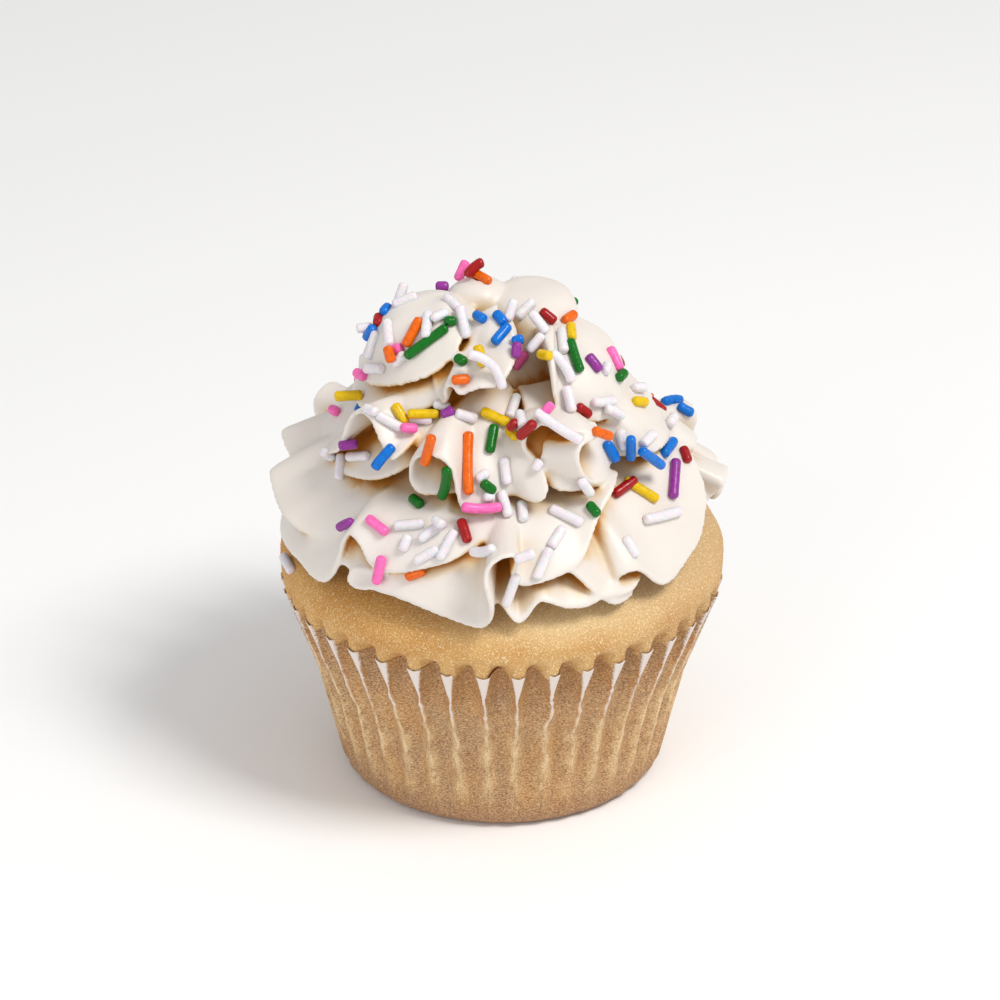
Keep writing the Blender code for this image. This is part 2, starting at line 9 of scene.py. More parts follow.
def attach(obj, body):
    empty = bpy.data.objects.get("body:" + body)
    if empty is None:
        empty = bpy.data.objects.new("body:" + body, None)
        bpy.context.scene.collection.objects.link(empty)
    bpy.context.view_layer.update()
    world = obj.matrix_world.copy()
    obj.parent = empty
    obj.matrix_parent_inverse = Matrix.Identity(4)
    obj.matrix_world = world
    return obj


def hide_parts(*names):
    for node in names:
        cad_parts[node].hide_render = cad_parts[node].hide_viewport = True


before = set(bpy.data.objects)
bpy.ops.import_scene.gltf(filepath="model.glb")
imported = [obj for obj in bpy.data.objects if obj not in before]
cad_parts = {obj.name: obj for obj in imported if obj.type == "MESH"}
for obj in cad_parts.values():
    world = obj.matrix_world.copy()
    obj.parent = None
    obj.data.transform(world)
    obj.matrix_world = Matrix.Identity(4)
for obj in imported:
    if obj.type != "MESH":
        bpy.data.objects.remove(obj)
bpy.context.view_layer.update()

MM = 0.001

# The view ---------------------------------------------------------------------------------------
# The cupcake stands on a plain pale table, lit by one soft lamp high on the right and a weaker one
# on the left, and is looked at from the front, slightly from above.

LOOK_DOWN = math.radians(28)
LOOK_AT = Vector((-0.3, 0.0, 46.3)) * MM
STAND_BACK = 750 * MM

view_side = Vector((0.0, -math.cos(LOOK_DOWN), math.sin(LOOK_DOWN)))
view_up = Vector((0.0, math.sin(LOOK_DOWN), math.cos(LOOK_DOWN)))
eye = LOOK_AT + view_side * STAND_BACK

lens = bpy.data.cameras.new("camera")
lens.lens = 166
lens.sensor_width = 36
camera = bpy.data.objects.new("camera", lens)
camera.location = eye
camera.rotation_euler = (-view_side).to_track_quat("-Z", "Y").to_euler()
bpy.context.scene.collection.objects.link(camera)
bpy.context.scene.camera = camera


def lamp(name, place, size, power, colour):
    """A square soft lamp aimed at the middle of the cupcake."""
    light = bpy.data.lights.new(name, "AREA")
    light.size = size
    light.energy = power
    light.color = colour
    made = bpy.data.objects.new(name, light)
    made.location = place
    made.rotation_euler = (LOOK_AT - Vector(place)).to_track_quat("-Z", "Y").to_euler()
    bpy.context.scene.collection.objects.link(made)


lamp("key_lamp", (0.40, -0.26, 0.72), 0.27, 4.6, (1.0, 0.985, 0.96))
lamp("fill_lamp", (-0.50, -0.62, 0.34), 0.50, 1.5, (0.95, 0.97, 1.0))

room = bpy.data.worlds.new("pale room")
room.use_nodes = True
room.node_tree.nodes["Background"].inputs["Color"].default_value = (1.0, 1.0, 1.0, 1.0)
room.node_tree.nodes["Background"].inputs["Strength"].default_value = 0.55
bpy.context.scene.world = room
bpy.context.scene.view_settings.view_transform = "Standard"


def tint(red, green, blue):
    """A colour given as 0-255 steps on a screen, as the linear value that materials take."""
    steps = [value / 255 for value in (red, green, blue)]
    linear = [value / 12.92 if value < 0.04045 else ((value + 0.055) / 1.055) ** 2.4 for value in steps]
    return (*linear, 1.0)


def surface(name, roughness):
    """A new node material, with its tree and its Principled shader."""
    made = bpy.data.materials.new(name)
    made.use_nodes = True
    shader = made.node_tree.nodes["Principled BSDF"]
    shader.inputs["Roughness"].default_value = roughness
    return made, made.node_tree, shader


table_mesh = bpy.data.meshes.new("table")
table_mesh.from_pydata([(-3, -3, 0), (3, -3, 0), (3, 3, 0), (-3, 3, 0)], [], [(0, 1, 2, 3)])
table = bpy.data.objects.new("table", table_mesh)
bpy.context.scene.collection.objects.link(table)
table_finish, table_tree, table_shader = surface("pale table", 0.8)
table_shader.inputs["Base Color"].default_value = tint(250, 250, 250)
table_mesh.materials.append(table_finish)


# Paper case -------------------------------------------------------------------------------------
# A round of white greaseproof paper pressed into forty flutes. The cake was baked in it, so the
# paper is stained brown where the sponge sticks to it and stays white along the open folds.

FLUTES = 40
PITCH = math.tau / FLUTES
FIRST_CREST = math.radians(4)
RIM_HEIGHT = 33.8
BASE_EDGE = 2.4                 # size of the rounded bottom edge
KNEE_HEIGHT = 19.0              # above it the paper leans out further
KNEE_RADIUS = 30.85
LOWER_LEAN = 0.235
UPPER_LEAN = 0.365
PAPER = 0.14
CREST_SHARES = (-1.0, -0.5, 0.0, 0.5, 1.0)
VALLEY_SHARES = (0.03, 0.08, 0.15, 0.25, 0.37, 0.5, 0.63, 0.75, 0.85, 0.92, 0.97)
BASE_RING_SHARES = (0.93, 0.8, 0.6, 0.35, 0.12)


def eased(value, low, high):
    """0 below low, 1 above high and a smooth slope between."""
    share = min(1.0, max(0.0, (value - low) / (high - low)))
    return share * share * (3 - 2 * share)


def wobble(*place, size=1.0, seed=0.0):
    """Smooth unevenness between about -1 and 1."""
    x, y, z = (list(place) + [0.0, 0.0])[:3]
    return noise.noise(Vector((x / size + seed, y / size - seed, z / size + 3.7 * seed)))


def crest_radius(height):
    """Radius of the outside of the folds, with the rounded bottom edge."""
    lean = UPPER_LEAN if height > KNEE_HEIGHT else LOWER_LEAN
    radius = KNEE_RADIUS + lean * (height - KNEE_HEIGHT)
    drop = max(0.0, 1 - height / BASE_EDGE)
    return radius - BASE_EDGE * (1 - math.sqrt(1 - drop * drop))


def flute_depth(height):
    fall = RIM_HEIGHT - height
    low = 0.12 + 0.55 * eased(height, 0.6, 4.5) + 0.75 * eased(height, 3, 16)
    return low + 2.3 * (1 - eased(fall, 0, 11))


class Flute:
    """One fold: where its crest runs and how wide it stands open."""

    def __init__(self, number):
        self.seed = 1.7 * number
        self.bearing = FIRST_CREST + number * PITCH + math.radians(0.7) * wobble(self.seed, seed=5)
        self.width = 1.75 * (1 + 0.3 * wobble(self.seed, seed=9))
        self.closing = 5.6 + 1.5 * wobble(self.seed, seed=13)

    def crest(self, height):
        fall = RIM_HEIGHT - height
        swing = eased(fall, 3, 9) * (1 - 0.55 * eased(fall, 14, 26))
        return self.bearing + math.radians(1.35) * swing * wobble(height, size=2.7, seed=self.seed)

    def open_width(self, height):
        fall = RIM_HEIGHT - height
        share = max(0.0, 1 - fall / self.closing)
        blob = eased(fall, self.closing - 1, self.closing) * (1 - eased(fall, 9, 14))
        blob *= max(0.0, wobble(height, size=0.9, seed=self.seed + 40))
        return 0.06 + (self.width - 0.06) * share + 0.8 * blob + 0.1 * (1 - eased(fall, 8, 15))


flutes = [Flute(number) for number in range(FLUTES)]
heights = [0.0, 0.25, 0.7, 1.3, 2.0, 2.9]
while heights[-1] < RIM_HEIGHT - 0.01:
    heights.append(min(RIM_HEIGHT, heights[-1] + (0.95 if heights[-1] < 18 else 0.62)))


def case_ring(height):
    """Outer outline of the case at a height: (bearing, radius, mm from the nearest white crest)."""
    ring = []
    radius = crest_radius(height)
    depth = flute_depth(height)
    fall = RIM_HEIGHT - height
    roundness = 0.72 + 0.28 * eased(fall, 3, 10) + 1.0 * eased(fall, 13, 24)
    for number, flute in enumerate(flutes):
        after = flutes[(number + 1) % FLUTES]
        middle = flute.crest(height)
        half = flute.open_width(height) / 2 / radius
        for share in CREST_SHARES:
            ring.append((middle + share * half, radius - 0.08 * (1 - abs(share)), -(1 - abs(share)) * half * radius))
        start = middle + half
        end = after.crest(height) - after.open_width(height) / 2 / radius
        end += math.tau if end < start else 0.0
        for share in VALLEY_SHARES:
            dip = math.sin(math.pi * share) ** roundness
            dent = 0.22 * wobble(share * 3, height, size=4, seed=flute.seed) * dip
            gap = min(share, 1 - share) * (end - start) * radius
            ring.append((start + share * (end - start), radius - depth * dip + dent, gap))
    return ring


def round_point(bearing, radius, height):
    return (radius * math.sin(bearing), -radius * math.cos(bearing), height)


def add_piece(name, points, faces, finish, attributes=()):
    """A smooth mesh from points in millimetres, fixed to the object's one body."""
    mesh = bpy.data.meshes.new(name)
    mesh.from_pydata((np.array(points) * MM).tolist(), [], faces)
    mesh.shade_smooth()
    mesh.materials.append(finish)
    for label, values in dict(attributes).items():
        mesh.attributes.new(label, "FLOAT", "POINT").data.foreach_set("value", np.array(values, np.float32))
    made = bpy.data.objects.new(name, mesh)
    bpy.context.scene.collection.objects.link(made)
    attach(made, "root")
    return made


def band_faces(first, second, size):
    """Faces between two rings of points, each given by its first index, the second above."""
    return [(first + i, first + (i + 1) % size, second + (i + 1) % size, second + i) for i in range(size)]


def add(tree, kind, inputs=(), **settings):
    """A node with its settings, and its inputs given as values or as other nodes' outputs."""
    made = tree.nodes.new(kind)
    for name, value in settings.items():
        setattr(made, name, value)
    for name, value in dict(inputs).items():
        if isinstance(value, bpy.types.NodeSocket):
            tree.links.new(value, made.inputs[name])
        else:
            made.inputs[name].default_value = value
    return made


def sums(tree, operation, *values):
    return add(tree, "ShaderNodeMath", dict(enumerate(values)), operation=operation).outputs[0]


def slope(tree, value, low, high, start=0.0, end=1.0):
    """Start below low, end above high and a smooth slope between."""
    made = add(tree, "ShaderNodeMapRange", {"Value": value, "From Min": low, "From Max": high,
                                            "To Min": start, "To Max": end},
               interpolation_type="SMOOTHSTEP")
    return made.outputs[0]


def blend(tree, share, first, second):
    """The first colour where share is 0, the second where it is 1."""
    made = add(tree, "ShaderNodeMix", {0: share, 6: first, 7: second}, data_type="RGBA")
    return made.outputs[2]


def build_grain():
    """Node group: uneven grain of a size in millimetres, stretched along the height."""
    group = bpy.data.node_groups.new("grain", "ShaderNodeTree")
    for label, value in (("Size", 1.0), ("Flatness", 1.0), ("Detail", 2.0), ("Sharpness", 1.0)):
        group.interface.new_socket(label, in_out="INPUT", socket_type="NodeSocketFloat").default_value = value
    group.interface.new_socket("Grain", in_out="OUTPUT", socket_type="NodeSocketFloat")
    given = group.nodes.new("NodeGroupInput").outputs
    place = group.nodes.new("ShaderNodeTexCoord").outputs["Object"]
    scale = sums(group, "DIVIDE", 1000.0, given["Size"])
    tall = sums(group, "MULTIPLY", scale, given["Flatness"])
    scales = add(group, "ShaderNodeCombineXYZ", {"X": scale, "Y": scale, "Z": tall}).outputs[0]
    spread = add(group, "ShaderNodeVectorMath", {0: place, 1: scales}, operation="MULTIPLY").outputs[0]
    cloud = add(group, "ShaderNodeTexNoise", {"Vector": spread, "Scale": 1.0, "Detail": given["Detail"],
                                              "Roughness": 0.6}).outputs["Fac"]
    middle = sums(group, "SUBTRACT", cloud, 0.5)
    strong = sums(group, "MULTIPLY", middle, given["Sharpness"])
    shifted = add(group, "ShaderNodeMath", {0: strong, 1: 0.5}, operation="ADD", use_clamp=True).outputs[0]
    out = group.nodes.new("NodeGroupOutput")
    group.links.new(shifted, out.inputs["Grain"])
    return group


grain_group = build_grain()


def grain(tree, size, flatness=1.0, detail=2.0, sharpness=2.0):
    made = add(tree, "ShaderNodeGroup", node_tree=grain_group)
    for label, value in (("Size", size), ("Flatness", flatness), ("Detail", detail), ("Sharpness", sharpness)):
        made.inputs[label].default_value = value
    return made.outputs["Grain"]


def build_case_paper():
    """Greaseproof paper: fibrous brown stain, white open folds, paler bands lower down that are painted highlight
    along the fold crests, and a thin painted highlight line on each crest.
    """
    made, tree, shader = surface("case_paper", 0.62)
    gap = add(tree, "ShaderNodeAttribute", attribute_name="crest_gap").outputs["Fac"]
    fall = add(tree, "ShaderNodeAttribute", attribute_name="rim_fall").outputs["Fac"]
    fibre = grain(tree, 0.36, 2.0, 3.0, 3.8)
    patch = grain(tree, 5.0, 0.6, 3.0, 2.6)
    stain = blend(tree, fibre, tint(128, 88, 54), tint(212, 176, 132))
    warm = blend(tree, fibre, tint(142, 94, 48), tint(220, 174, 116))
    colour = blend(tree, patch, stain, warm)
    # Painted highlight: broad paler bands along the fold crests lower down the case.
    near = slope(tree, gap, 0.0, 2.1, 1.0, 0.0)
    low = sums(tree, "MULTIPLY", slope(tree, fall, 7.0, 16.0), slope(tree, fall, 24.0, 31.0, 1.0, 0.0))
    painted_crest_highlight = sums(tree, "MULTIPLY", sums(tree, "MULTIPLY", near, low), slope(tree, grain(tree, 2.2, 0.6, 3.0, 3.0), 0.15, 0.75, 0.05, 1.0))
    colour = blend(tree, painted_crest_highlight, colour, blend(tree, fibre, tint(184, 144, 92), tint(236, 206, 158)))
    soaked = sums(tree, "MULTIPLY", slope(tree, gap, 0.9, 0.1), slope(tree, fall, 2.5, 6.0))
    soaked = sums(tree, "MULTIPLY", soaked, slope(tree, fall, 9.0, 15.0, 1.0, 0.0))
    soaked = sums(tree, "MULTIPLY", soaked, slope(tree, grain(tree, 1.3, 0.8, 3.0, 3.5), 0.3, 0.7))
    colour = blend(tree, soaked, colour, blend(tree, fibre, tint(146, 92, 42), tint(206, 146, 84)))
    # Painted highlight: a thin light line down each fold crest below the white tops.
    painted_crest_line = sums(tree, "MULTIPLY", slope(tree, gap, 0.0, 0.42, 1.0, 0.0), slope(tree, fall, 6.0, 10.0))
    painted_crest_line = sums(tree, "MULTIPLY", painted_crest_line, slope(tree, fall, 17.0, 28.0, 1.0, 0.0))
    painted_crest_line = sums(tree, "MULTIPLY", painted_crest_line, slope(tree, grain(tree, 1.1, 0.5, 3.0, 3.0), 0.2, 0.7, 0.25, 1.0))
    colour = blend(tree, painted_crest_line, colour, tint(232, 206, 166))
    foot = slope(tree, fall, 27.0, 33.5, 0.0, 0.8)
    colour = blend(tree, foot, colour, blend(tree, fibre, tint(124, 84, 58), tint(188, 146, 106)))
    ragged = sums(tree, "ADD", gap, sums(tree, "MULTIPLY", sums(tree, "SUBTRACT", grain(tree, 0.5, 1.0, 3.0, 2.0), 0.5), 0.16))
    dry = sums(tree, "MULTIPLY", slope(tree, ragged, 0.0, 0.1, 1.0, 0.0), slope(tree, fall, 8.0, 14.5, 1.0, 0.0))
    colour = blend(tree, dry, colour, tint(226, 214, 206))
    tree.links.new(colour, shader.inputs["Base Color"])
    bump = add(tree, "ShaderNodeBump", {"Height": fibre, "Strength": 0.25, "Distance": 0.00008})
    tree.links.new(bump.outputs[0], shader.inputs["Normal"])
    return made


case_points, case_faces = [], []
case_gap, case_fall = [], []
ring_size = FLUTES * (len(CREST_SHARES) + len(VALLEY_SHARES))
rings = []
for height in heights:
    rings.append(len(case_points))
    for bearing, radius, gap in case_ring(height):
        scoop = 0.5 * min(0.8, max(0.0, -gap)) * eased(height, RIM_HEIGHT - 2, RIM_HEIGHT)
        case_points.append(round_point(bearing, radius, height - scoop))
        case_gap.append(gap)
        case_fall.append(RIM_HEIGHT - height)
for height in reversed(heights):
    rings.append(len(case_points))
    lift = PAPER * (1 - eased(height, 0, BASE_EDGE))
    for bearing, radius, gap in case_ring(height):
        scoop = 0.5 * min(0.8, max(0.0, -gap)) * eased(height, RIM_HEIGHT - 2, RIM_HEIGHT)
        case_points.append(round_point(bearing, radius - PAPER, height + lift - scoop))
        case_gap.append(gap)
        case_fall.append(RIM_HEIGHT - height)
for share in BASE_RING_SHARES[::1]:
    rings.append(len(case_points))
    for bearing, radius, gap in case_ring(0.0):
        case_points.append(round_point(bearing, (radius - PAPER) * share, PAPER))
        case_gap.append(3.0)
        case_fall.append(RIM_HEIGHT)
for below, above in zip(rings, rings[1:]):
    case_faces += band_faces(below, above, ring_size)
middle = len(case_points)
case_points += [(0, 0, PAPER), (0, 0, 0)]
case_gap += [3.0, 3.0]
case_fall += [RIM_HEIGHT, RIM_HEIGHT]
case_faces += [(rings[-1] + i, rings[-1] + (i + 1) % ring_size, middle) for i in range(ring_size)]
case_faces += [((i + 1) % ring_size, i, middle + 1) for i in range(ring_size)]
paper_case = add_piece("baking_case", case_points, case_faces, build_case_paper(),
                       {"crest_gap": case_gap, "rim_fall": case_fall})
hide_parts("paper_case")


# Sponge cake ------------------------------------------------------------------------------------
# Golden sponge with a fine open crumb. It rose in the case and swelled out over the rim, where it
# sags a little into the open folds.

BULGE_RADIUS = 36.3
BULGE_HEIGHT = 37.4
CAKE_COLUMNS = 640
CAKE_SECTION = (                # radius, height of the visible edge from the rim to the frosting
    (35.2, 33.3), (35.6, 34.2), (36.0, 35.4), (36.25, 36.6), (36.3, 37.6), (36.0, 38.8),
    (35.2, 40.2), (33.6, 41.6), (31.2, 42.9), (28.0, 44.0), (23.0, 45.0),
)


def rim_shape(bearing):
    """How deep the paper's outline lies behind the crests at the rim, from 0 to 1."""
    phase = ((bearing - FIRST_CREST) / PITCH + 0.5) % 1 - 0.5
    open_half = 0.18
    share = max(0.0, (abs(phase) - open_half) / (0.5 - open_half))
    return math.sin(math.pi / 2 * share) ** 0.75


def along(points, steps):
    """Evenly spaced points on a smooth curve through the given ones."""
    path = np.array(points, float)
    length = np.concatenate([[0], np.cumsum(np.hypot(*np.diff(path, axis=0).T))])
    at = np.linspace(0, length[-1], steps)
    return np.stack([flow(at, length, path[:, 0]), flow(at, length, path[:, 1])], -1)


def flow(at, keys, values):
    """A smooth curve through keyed values that never overshoots between two keys."""
    keys = np.asarray(keys, float)
    values = np.asarray(values, float)
    gaps = np.diff(keys)
    steps = np.diff(values) / gaps
    slopes = np.gradient(values, keys)
    limit = 3 * np.minimum(np.abs(steps[1:]), np.abs(steps[:-1]))
    slopes[1:-1] = np.where(steps[1:] * steps[:-1] <= 0, 0, np.clip(slopes[1:-1], -limit, limit))
    left = np.clip(np.searchsorted(keys, at, side="right") - 1, 0, len(keys) - 2)
    u = np.clip((at - keys[left]) / gaps[left], 0, 1)
    return ((2 * u ** 3 - 3 * u ** 2 + 1) * values[left] + (u ** 3 - 2 * u ** 2 + u) * gaps[left] * slopes[left]
            + (3 * u ** 2 - 2 * u ** 3) * values[left + 1] + (u ** 3 - u ** 2) * gaps[left] * slopes[left + 1])


cake_points, cake_faces, cake_rings = [], [], []
section = along(CAKE_SECTION, 44)
section = [(r, z) for r, z in section]
inside = [(24.0, 0.7), (25.6, 3.0), (27.9, 16.0), (30.8, 30.0), (31.3, 33.2)]
for radius, height in inside + section:
    cake_rings.append(len(cake_points))
    for column in range(CAKE_COLUMNS):
        bearing = column * math.tau / CAKE_COLUMNS
        r = radius
        z = height
        if height > 33.25:
            sag = 1 - eased(height, 33.6, 36.6)
            lobe = rim_shape(bearing + math.radians(0.5) * wobble(bearing * 6, seed=3))
            r += sag * (0.35 - 3.3 * lobe) if height < 37 else 0
            z -= sag * 0.5 * (1 - lobe)
        swell = 0.28 * wobble(r * math.sin(bearing), r * math.cos(bearing), z, size=7, seed=2)
        crumb = 0.07 * wobble(r * math.sin(bearing), r * math.cos(bearing), z, size=0.9, seed=4)
        if height > 33.25:
            r += swell * eased(height, 34, 37) + crumb
            z += crumb
        cake_points.append(round_point(bearing, r, z))
for below, above in zip(cake_rings, cake_rings[1:]):
    cake_faces += band_faces(below, above, CAKE_COLUMNS)
cake_faces.append(tuple(range(cake_rings[-1], cake_rings[-1] + CAKE_COLUMNS)))
cake_faces.append(tuple(range(CAKE_COLUMNS))[::-1])


def build_sponge():
    """Baked crumb: golden, paler towards the top, with painted shade that browns it under the frosting on the left
    and dulls the right side, and pale and dark specks.
    """
    made, tree, shader = surface("sponge", 0.78)
    place = add(tree, "ShaderNodeSeparateXYZ", {0: tree.nodes.new("ShaderNodeTexCoord").outputs["Object"]}).outputs
    fine = grain(tree, 0.26, 1.0, 3.0, 2.8)
    broad = grain(tree, 10.0, 1.0, 3.0, 2.2)
    golden = blend(tree, broad, tint(200, 144, 76), tint(222, 182, 120))
    brown = blend(tree, broad, tint(204, 138, 58), tint(222, 168, 88))
    high = slope(tree, place["Z"], 0.0375, 0.042)
    # Painted shade: browner under the frosting, on the left side only.
    left = slope(tree, place["X"], -0.02, 0.012, 1.0, 0.0)
    painted_shade_left = sums(tree, "MULTIPLY", slope(tree, place["Z"], 0.034, 0.0415, 0.35, 1.0), left)
    colour = blend(tree, high, golden, tint(228, 196, 144))
    colour = blend(tree, painted_shade_left, colour, brown)
    # Painted shade: the right side is darkened towards a duller tan.
    right = slope(tree, place["X"], 0.008, 0.034, 0.0, 0.5)
    colour = blend(tree, right, colour, tint(196, 152, 102))
    colour = blend(tree, slope(tree, fine, 0.56, 0.95, 0.0, 0.7), colour, tint(252, 234, 188))
    colour = blend(tree, slope(tree, fine, 0.05, 0.4, 0.24, 0.0), colour, tint(164, 110, 52))
    tree.links.new(colour, shader.inputs["Base Color"])
    bump = add(tree, "ShaderNodeBump", {"Height": fine, "Strength": 0.6, "Distance": 0.0002})
    tree.links.new(bump.outputs[0], shader.inputs["Normal"])
    return made


cake = add_piece("sponge_cake", cake_points, cake_faces, build_sponge())
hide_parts("cake")


# Frosting ---------------------------------------------------------------------------------------
# Whipped cream frosting piped with a petal tip: thin ribbons wound round a heaped middle in tiers,
# each with a crisp wavy lip that folds and rolls over.

MOUND = ((0.01, 41), (27, 44), (26, 49), (22, 55), (17, 61), (13, 67), (9, 73), (6, 78), (2, 81), (0.01, 81.5))
MOUND_SIDES = 96
LIP = 0.85                      # thickness of a ribbon's free edge
ROOT = 4.0                      # and where it grows out of the mound
PETAL_ROWS = 28
VOXEL = 0.38
FROSTING_TRIANGLES = 190000

# Each petal is a ribbon bent round the mound. root is the radius and height where it leaves the
# mound, lip its free edge as (bearing in degrees, radius, height), and each fold is (bearing, half
# width, lift in degrees, pinch, lean). cup bows it out, tuck draws a lifted fold in, and flick is how
# far the lip turns outwards.
PETALS = (
    dict(name="front", root=(21, 58), cup=0.12, tuck=0.25,
         lip=((-58, 32, 47), (-44, 34.6, 47.5), (-38.6, 35.2, 46), (-25.5, 35.3, 45.5),
              (-14.3, 35.3, 43.8), (-5.2, 35.3, 42.4), (4, 34.8, 49.2), (8.8, 34.9, 49.9),
              (13, 34.8, 50.5), (16.7, 34.4, 51), (20.2, 33.8, 51.6), (23, 33, 52.8),
              (25.5, 32, 54.7), (28, 31, 56.5), (31, 30, 58), (37, 28.5, 60), (45, 25.5, 61)),
         folds=((0.2, 5.6, 36, 0.45, -0.05),)),
    dict(name="under", root=(22, 51), cup=0.1, tuck=0.6,
         lip=((-6, 34, 46), (-1.2, 35.2, 47), (4.3, 35.4, 43.3), (9.9, 35.3, 46.9),
              (17.5, 35.3, 45.1), (21.9, 35.3, 44.9), (27, 35.3, 45.8), (35, 35, 45.3),
              (40, 34, 46.5))),
    dict(name="left_big", root=(15, 63), cup=0.04, tuck=0.6,
         lip=((-138, 33, 45.5), (-122, 34, 47.5), (-110, 34.8, 52), (-99, 36, 55.6),
              (-91, 34, 53.5), (-83, 37.4, 53.5), (-76, 37.2, 51.6), (-69.6, 36.8, 50.2),
              (-63, 35, 48.8), (-50, 31, 50.5), (-33, 29.5, 53), (-18, 27, 58))),
    dict(name="back", root=(20, 57), cup=0.12, tuck=0.6,
         lip=((80, 32, 48), (90, 34, 45.5), (100, 34, 45), (130, 34, 45), (180, 34, 45),
              (225, 34, 45), (250, 34.5, 46)),
         folds=((88, 7, 22, 0.5, 0), (106, 6, 14, 0.4, 0.1), (125, 8, 30, 0.3, -0.2),
                (151, 9, 44, 0.4, 0.1), (170, 5, 26, 0.3, 0.1), (194, 10, 40, 0.4, -0.1),
                (214, 7, 35, 0.35, -0.1), (233, 7, 38, 0.4, 0))),
    dict(name="mid_left", root=(11, 67), cup=0.15, tuck=0.2,
         lip=((-150, 25, 58), (-120, 26, 59), (-95, 28.5, 58.5), (-83, 28.7, 56.5), (-70, 28, 57),
              (-57.6, 27.5, 58.2), (-48, 27, 59.5), (-40, 26, 61.5), (-33, 24, 64)),
         folds=((-112, 9, 5, 0.2, 0),)),
    dict(name="mid_front", root=(10, 71), cup=0.15, tuck=0.3,
         lip=((-34, 24, 66.5), (-24, 23, 65.5), (-12, 22.5, 65), (-2, 22, 65), (3, 20, 66),
              (8, 18, 67))),
    dict(name="mouth", root=(12, 71), cup=0.2, tuck=0.6,
         lip=((12, 24, 64), (17, 26.3, 62), (24, 27, 61), (31.6, 27, 60.8), (38, 26, 60.8),
              (43, 24.5, 62), (47, 24.5, 63), (52, 27, 63), (60, 28, 62.5), (70, 27.5, 61.5),
              (80, 27, 60))),
    dict(name="mid_right", root=(11, 66), cup=0.15, tuck=0.6,
         lip=((60, 26, 61), (72, 28.5, 58), (82, 30, 56), (90, 30, 55.5), (100, 28, 55.5),
              (108, 26, 56)),
         folds=((85, 8, 8, 0.3, 0),)),
    dict(name="mid_back", root=(11, 65), cup=0.15, tuck=0.6,
         lip=((100, 25.5, 56), (140, 25, 56), (180, 25, 56), (212, 25, 57)),
         folds=((113, 8, 12, 0.3, 0), (131, 9, 18, 0.4, 0.1), (155, 9, 18, 0.4, -0.1),
                (178, 9, 20, 0.4, 0), (200, 8, 18, 0.3, 0))),
    dict(name="high_left", root=(7, 73), cup=0.2, tuck=0.6,
         lip=((-160, 17, 68), (-120, 20, 67.5), (-100, 22.5, 67.5), (-85, 23.5, 67),
              (-70, 23.5, 67.2), (-57, 23, 69.3), (-44, 22, 70.5), (-34, 20, 71.5), (-28, 17, 73)),
         folds=((-110, 9, 12, 0.3, 0), (-140, 9, 12, 0.3, 0))),
    dict(name="high_front", root=(6, 79), cup=0.15, tuck=0.6,
         lip=((-40, 17, 76), (-28, 19.5, 72.5), (-20, 20, 74.5), (-10, 20, 76.5), (-2, 19.8, 77),
              (4, 18, 78.5), (9, 15, 80)),
         folds=((-23, 5, 12, 0.3, 0),)),
    dict(name="high_right", root=(4, 78.5), cup=0.24, tuck=0.6, centre=(6, 0),
         lip=((6, 17.5, 79.5), (6.6, 18, 76.5), (7.2, 18.8, 73.5), (12, 19.2, 71),
              (26, 19.2, 69.5), (40, 18.2, 68.8), (52, 17, 67.8), (64, 15.3, 68), (78, 13, 70))),
    dict(name="high_side", root=(7, 71), cup=0.2, tuck=0.6,
         lip=((52, 20, 68), (60, 22.5, 65.5), (72, 23.5, 63.5), (84, 22.8, 63), (100, 20.5, 64),
              (120, 18, 65)),
         folds=((95, 9, 8, 0.3, 0),)),
    dict(name="high_back", root=(6, 73), cup=0.2, tuck=0.6,
         lip=((104, 16.5, 65), (140, 16, 66), (180, 16, 66), (212, 16, 67)),
         folds=((122, 9, 10, 0.3, 0), (146, 9, 14, 0.3, 0), (170, 9, 14, 0.4, 0),
                (194, 9, 12, 0.3, 0))),
    dict(name="crown_left", root=(0.6, 82.6), cup=0.3, tuck=0.6, centre=(-10, -3), flick=2.6,
         lip=((-170, 7, 75), (-120, 8.8, 73), (-90, 10.2, 71.8), (-60, 10.2, 72), (-38, 9.9, 73.2),
              (-17, 9.9, 75.2), (0, 9.8, 77.2), (12, 9.2, 79.4), (23, 7.6, 81.3), (50, 4.4, 82),
              (100, 3.4, 81.6), (150, 5, 79), (190, 7, 75))),
    dict(name="crown_right", root=(0.4, 81.8), cup=0.42, tuck=0.6, centre=(5, 2.5),
         lip=((-150, 6.2, 76), (-100, 6.2, 75), (-40, 6.8, 74), (0, 7.4, 73.5), (50, 6.6, 74),
              (100, 5.8, 76), (150, 5.8, 76), (210, 6.2, 76))),
    dict(name="tongue", root=(0.6, 83), cup=0.2, tuck=0.6, centre=(-0.8, -6.5),
         lip=((-75, 3.2, 81.5), (-42, 5.2, 78.6), (-22, 7.2, 76.4), (-5, 8.8, 75.2), (10, 8, 76.4),
              (22, 6, 78.8), (45, 3.8, 82)),
         folds=((-44, 20, 20, 0, 0), (26, 16, 20, 0, 0))),
    dict(name="crown_back", root=(0.6, 82.9), cup=0.3, tuck=0.6, centre=(-3.6, 2.5),
         lip=((-180, 5, 78), (-120, 5, 77), (-60, 4.6, 78), (0, 3.6, 80), (60, 3.8, 79),
              (120, 5, 77), (180, 5, 78))),
)

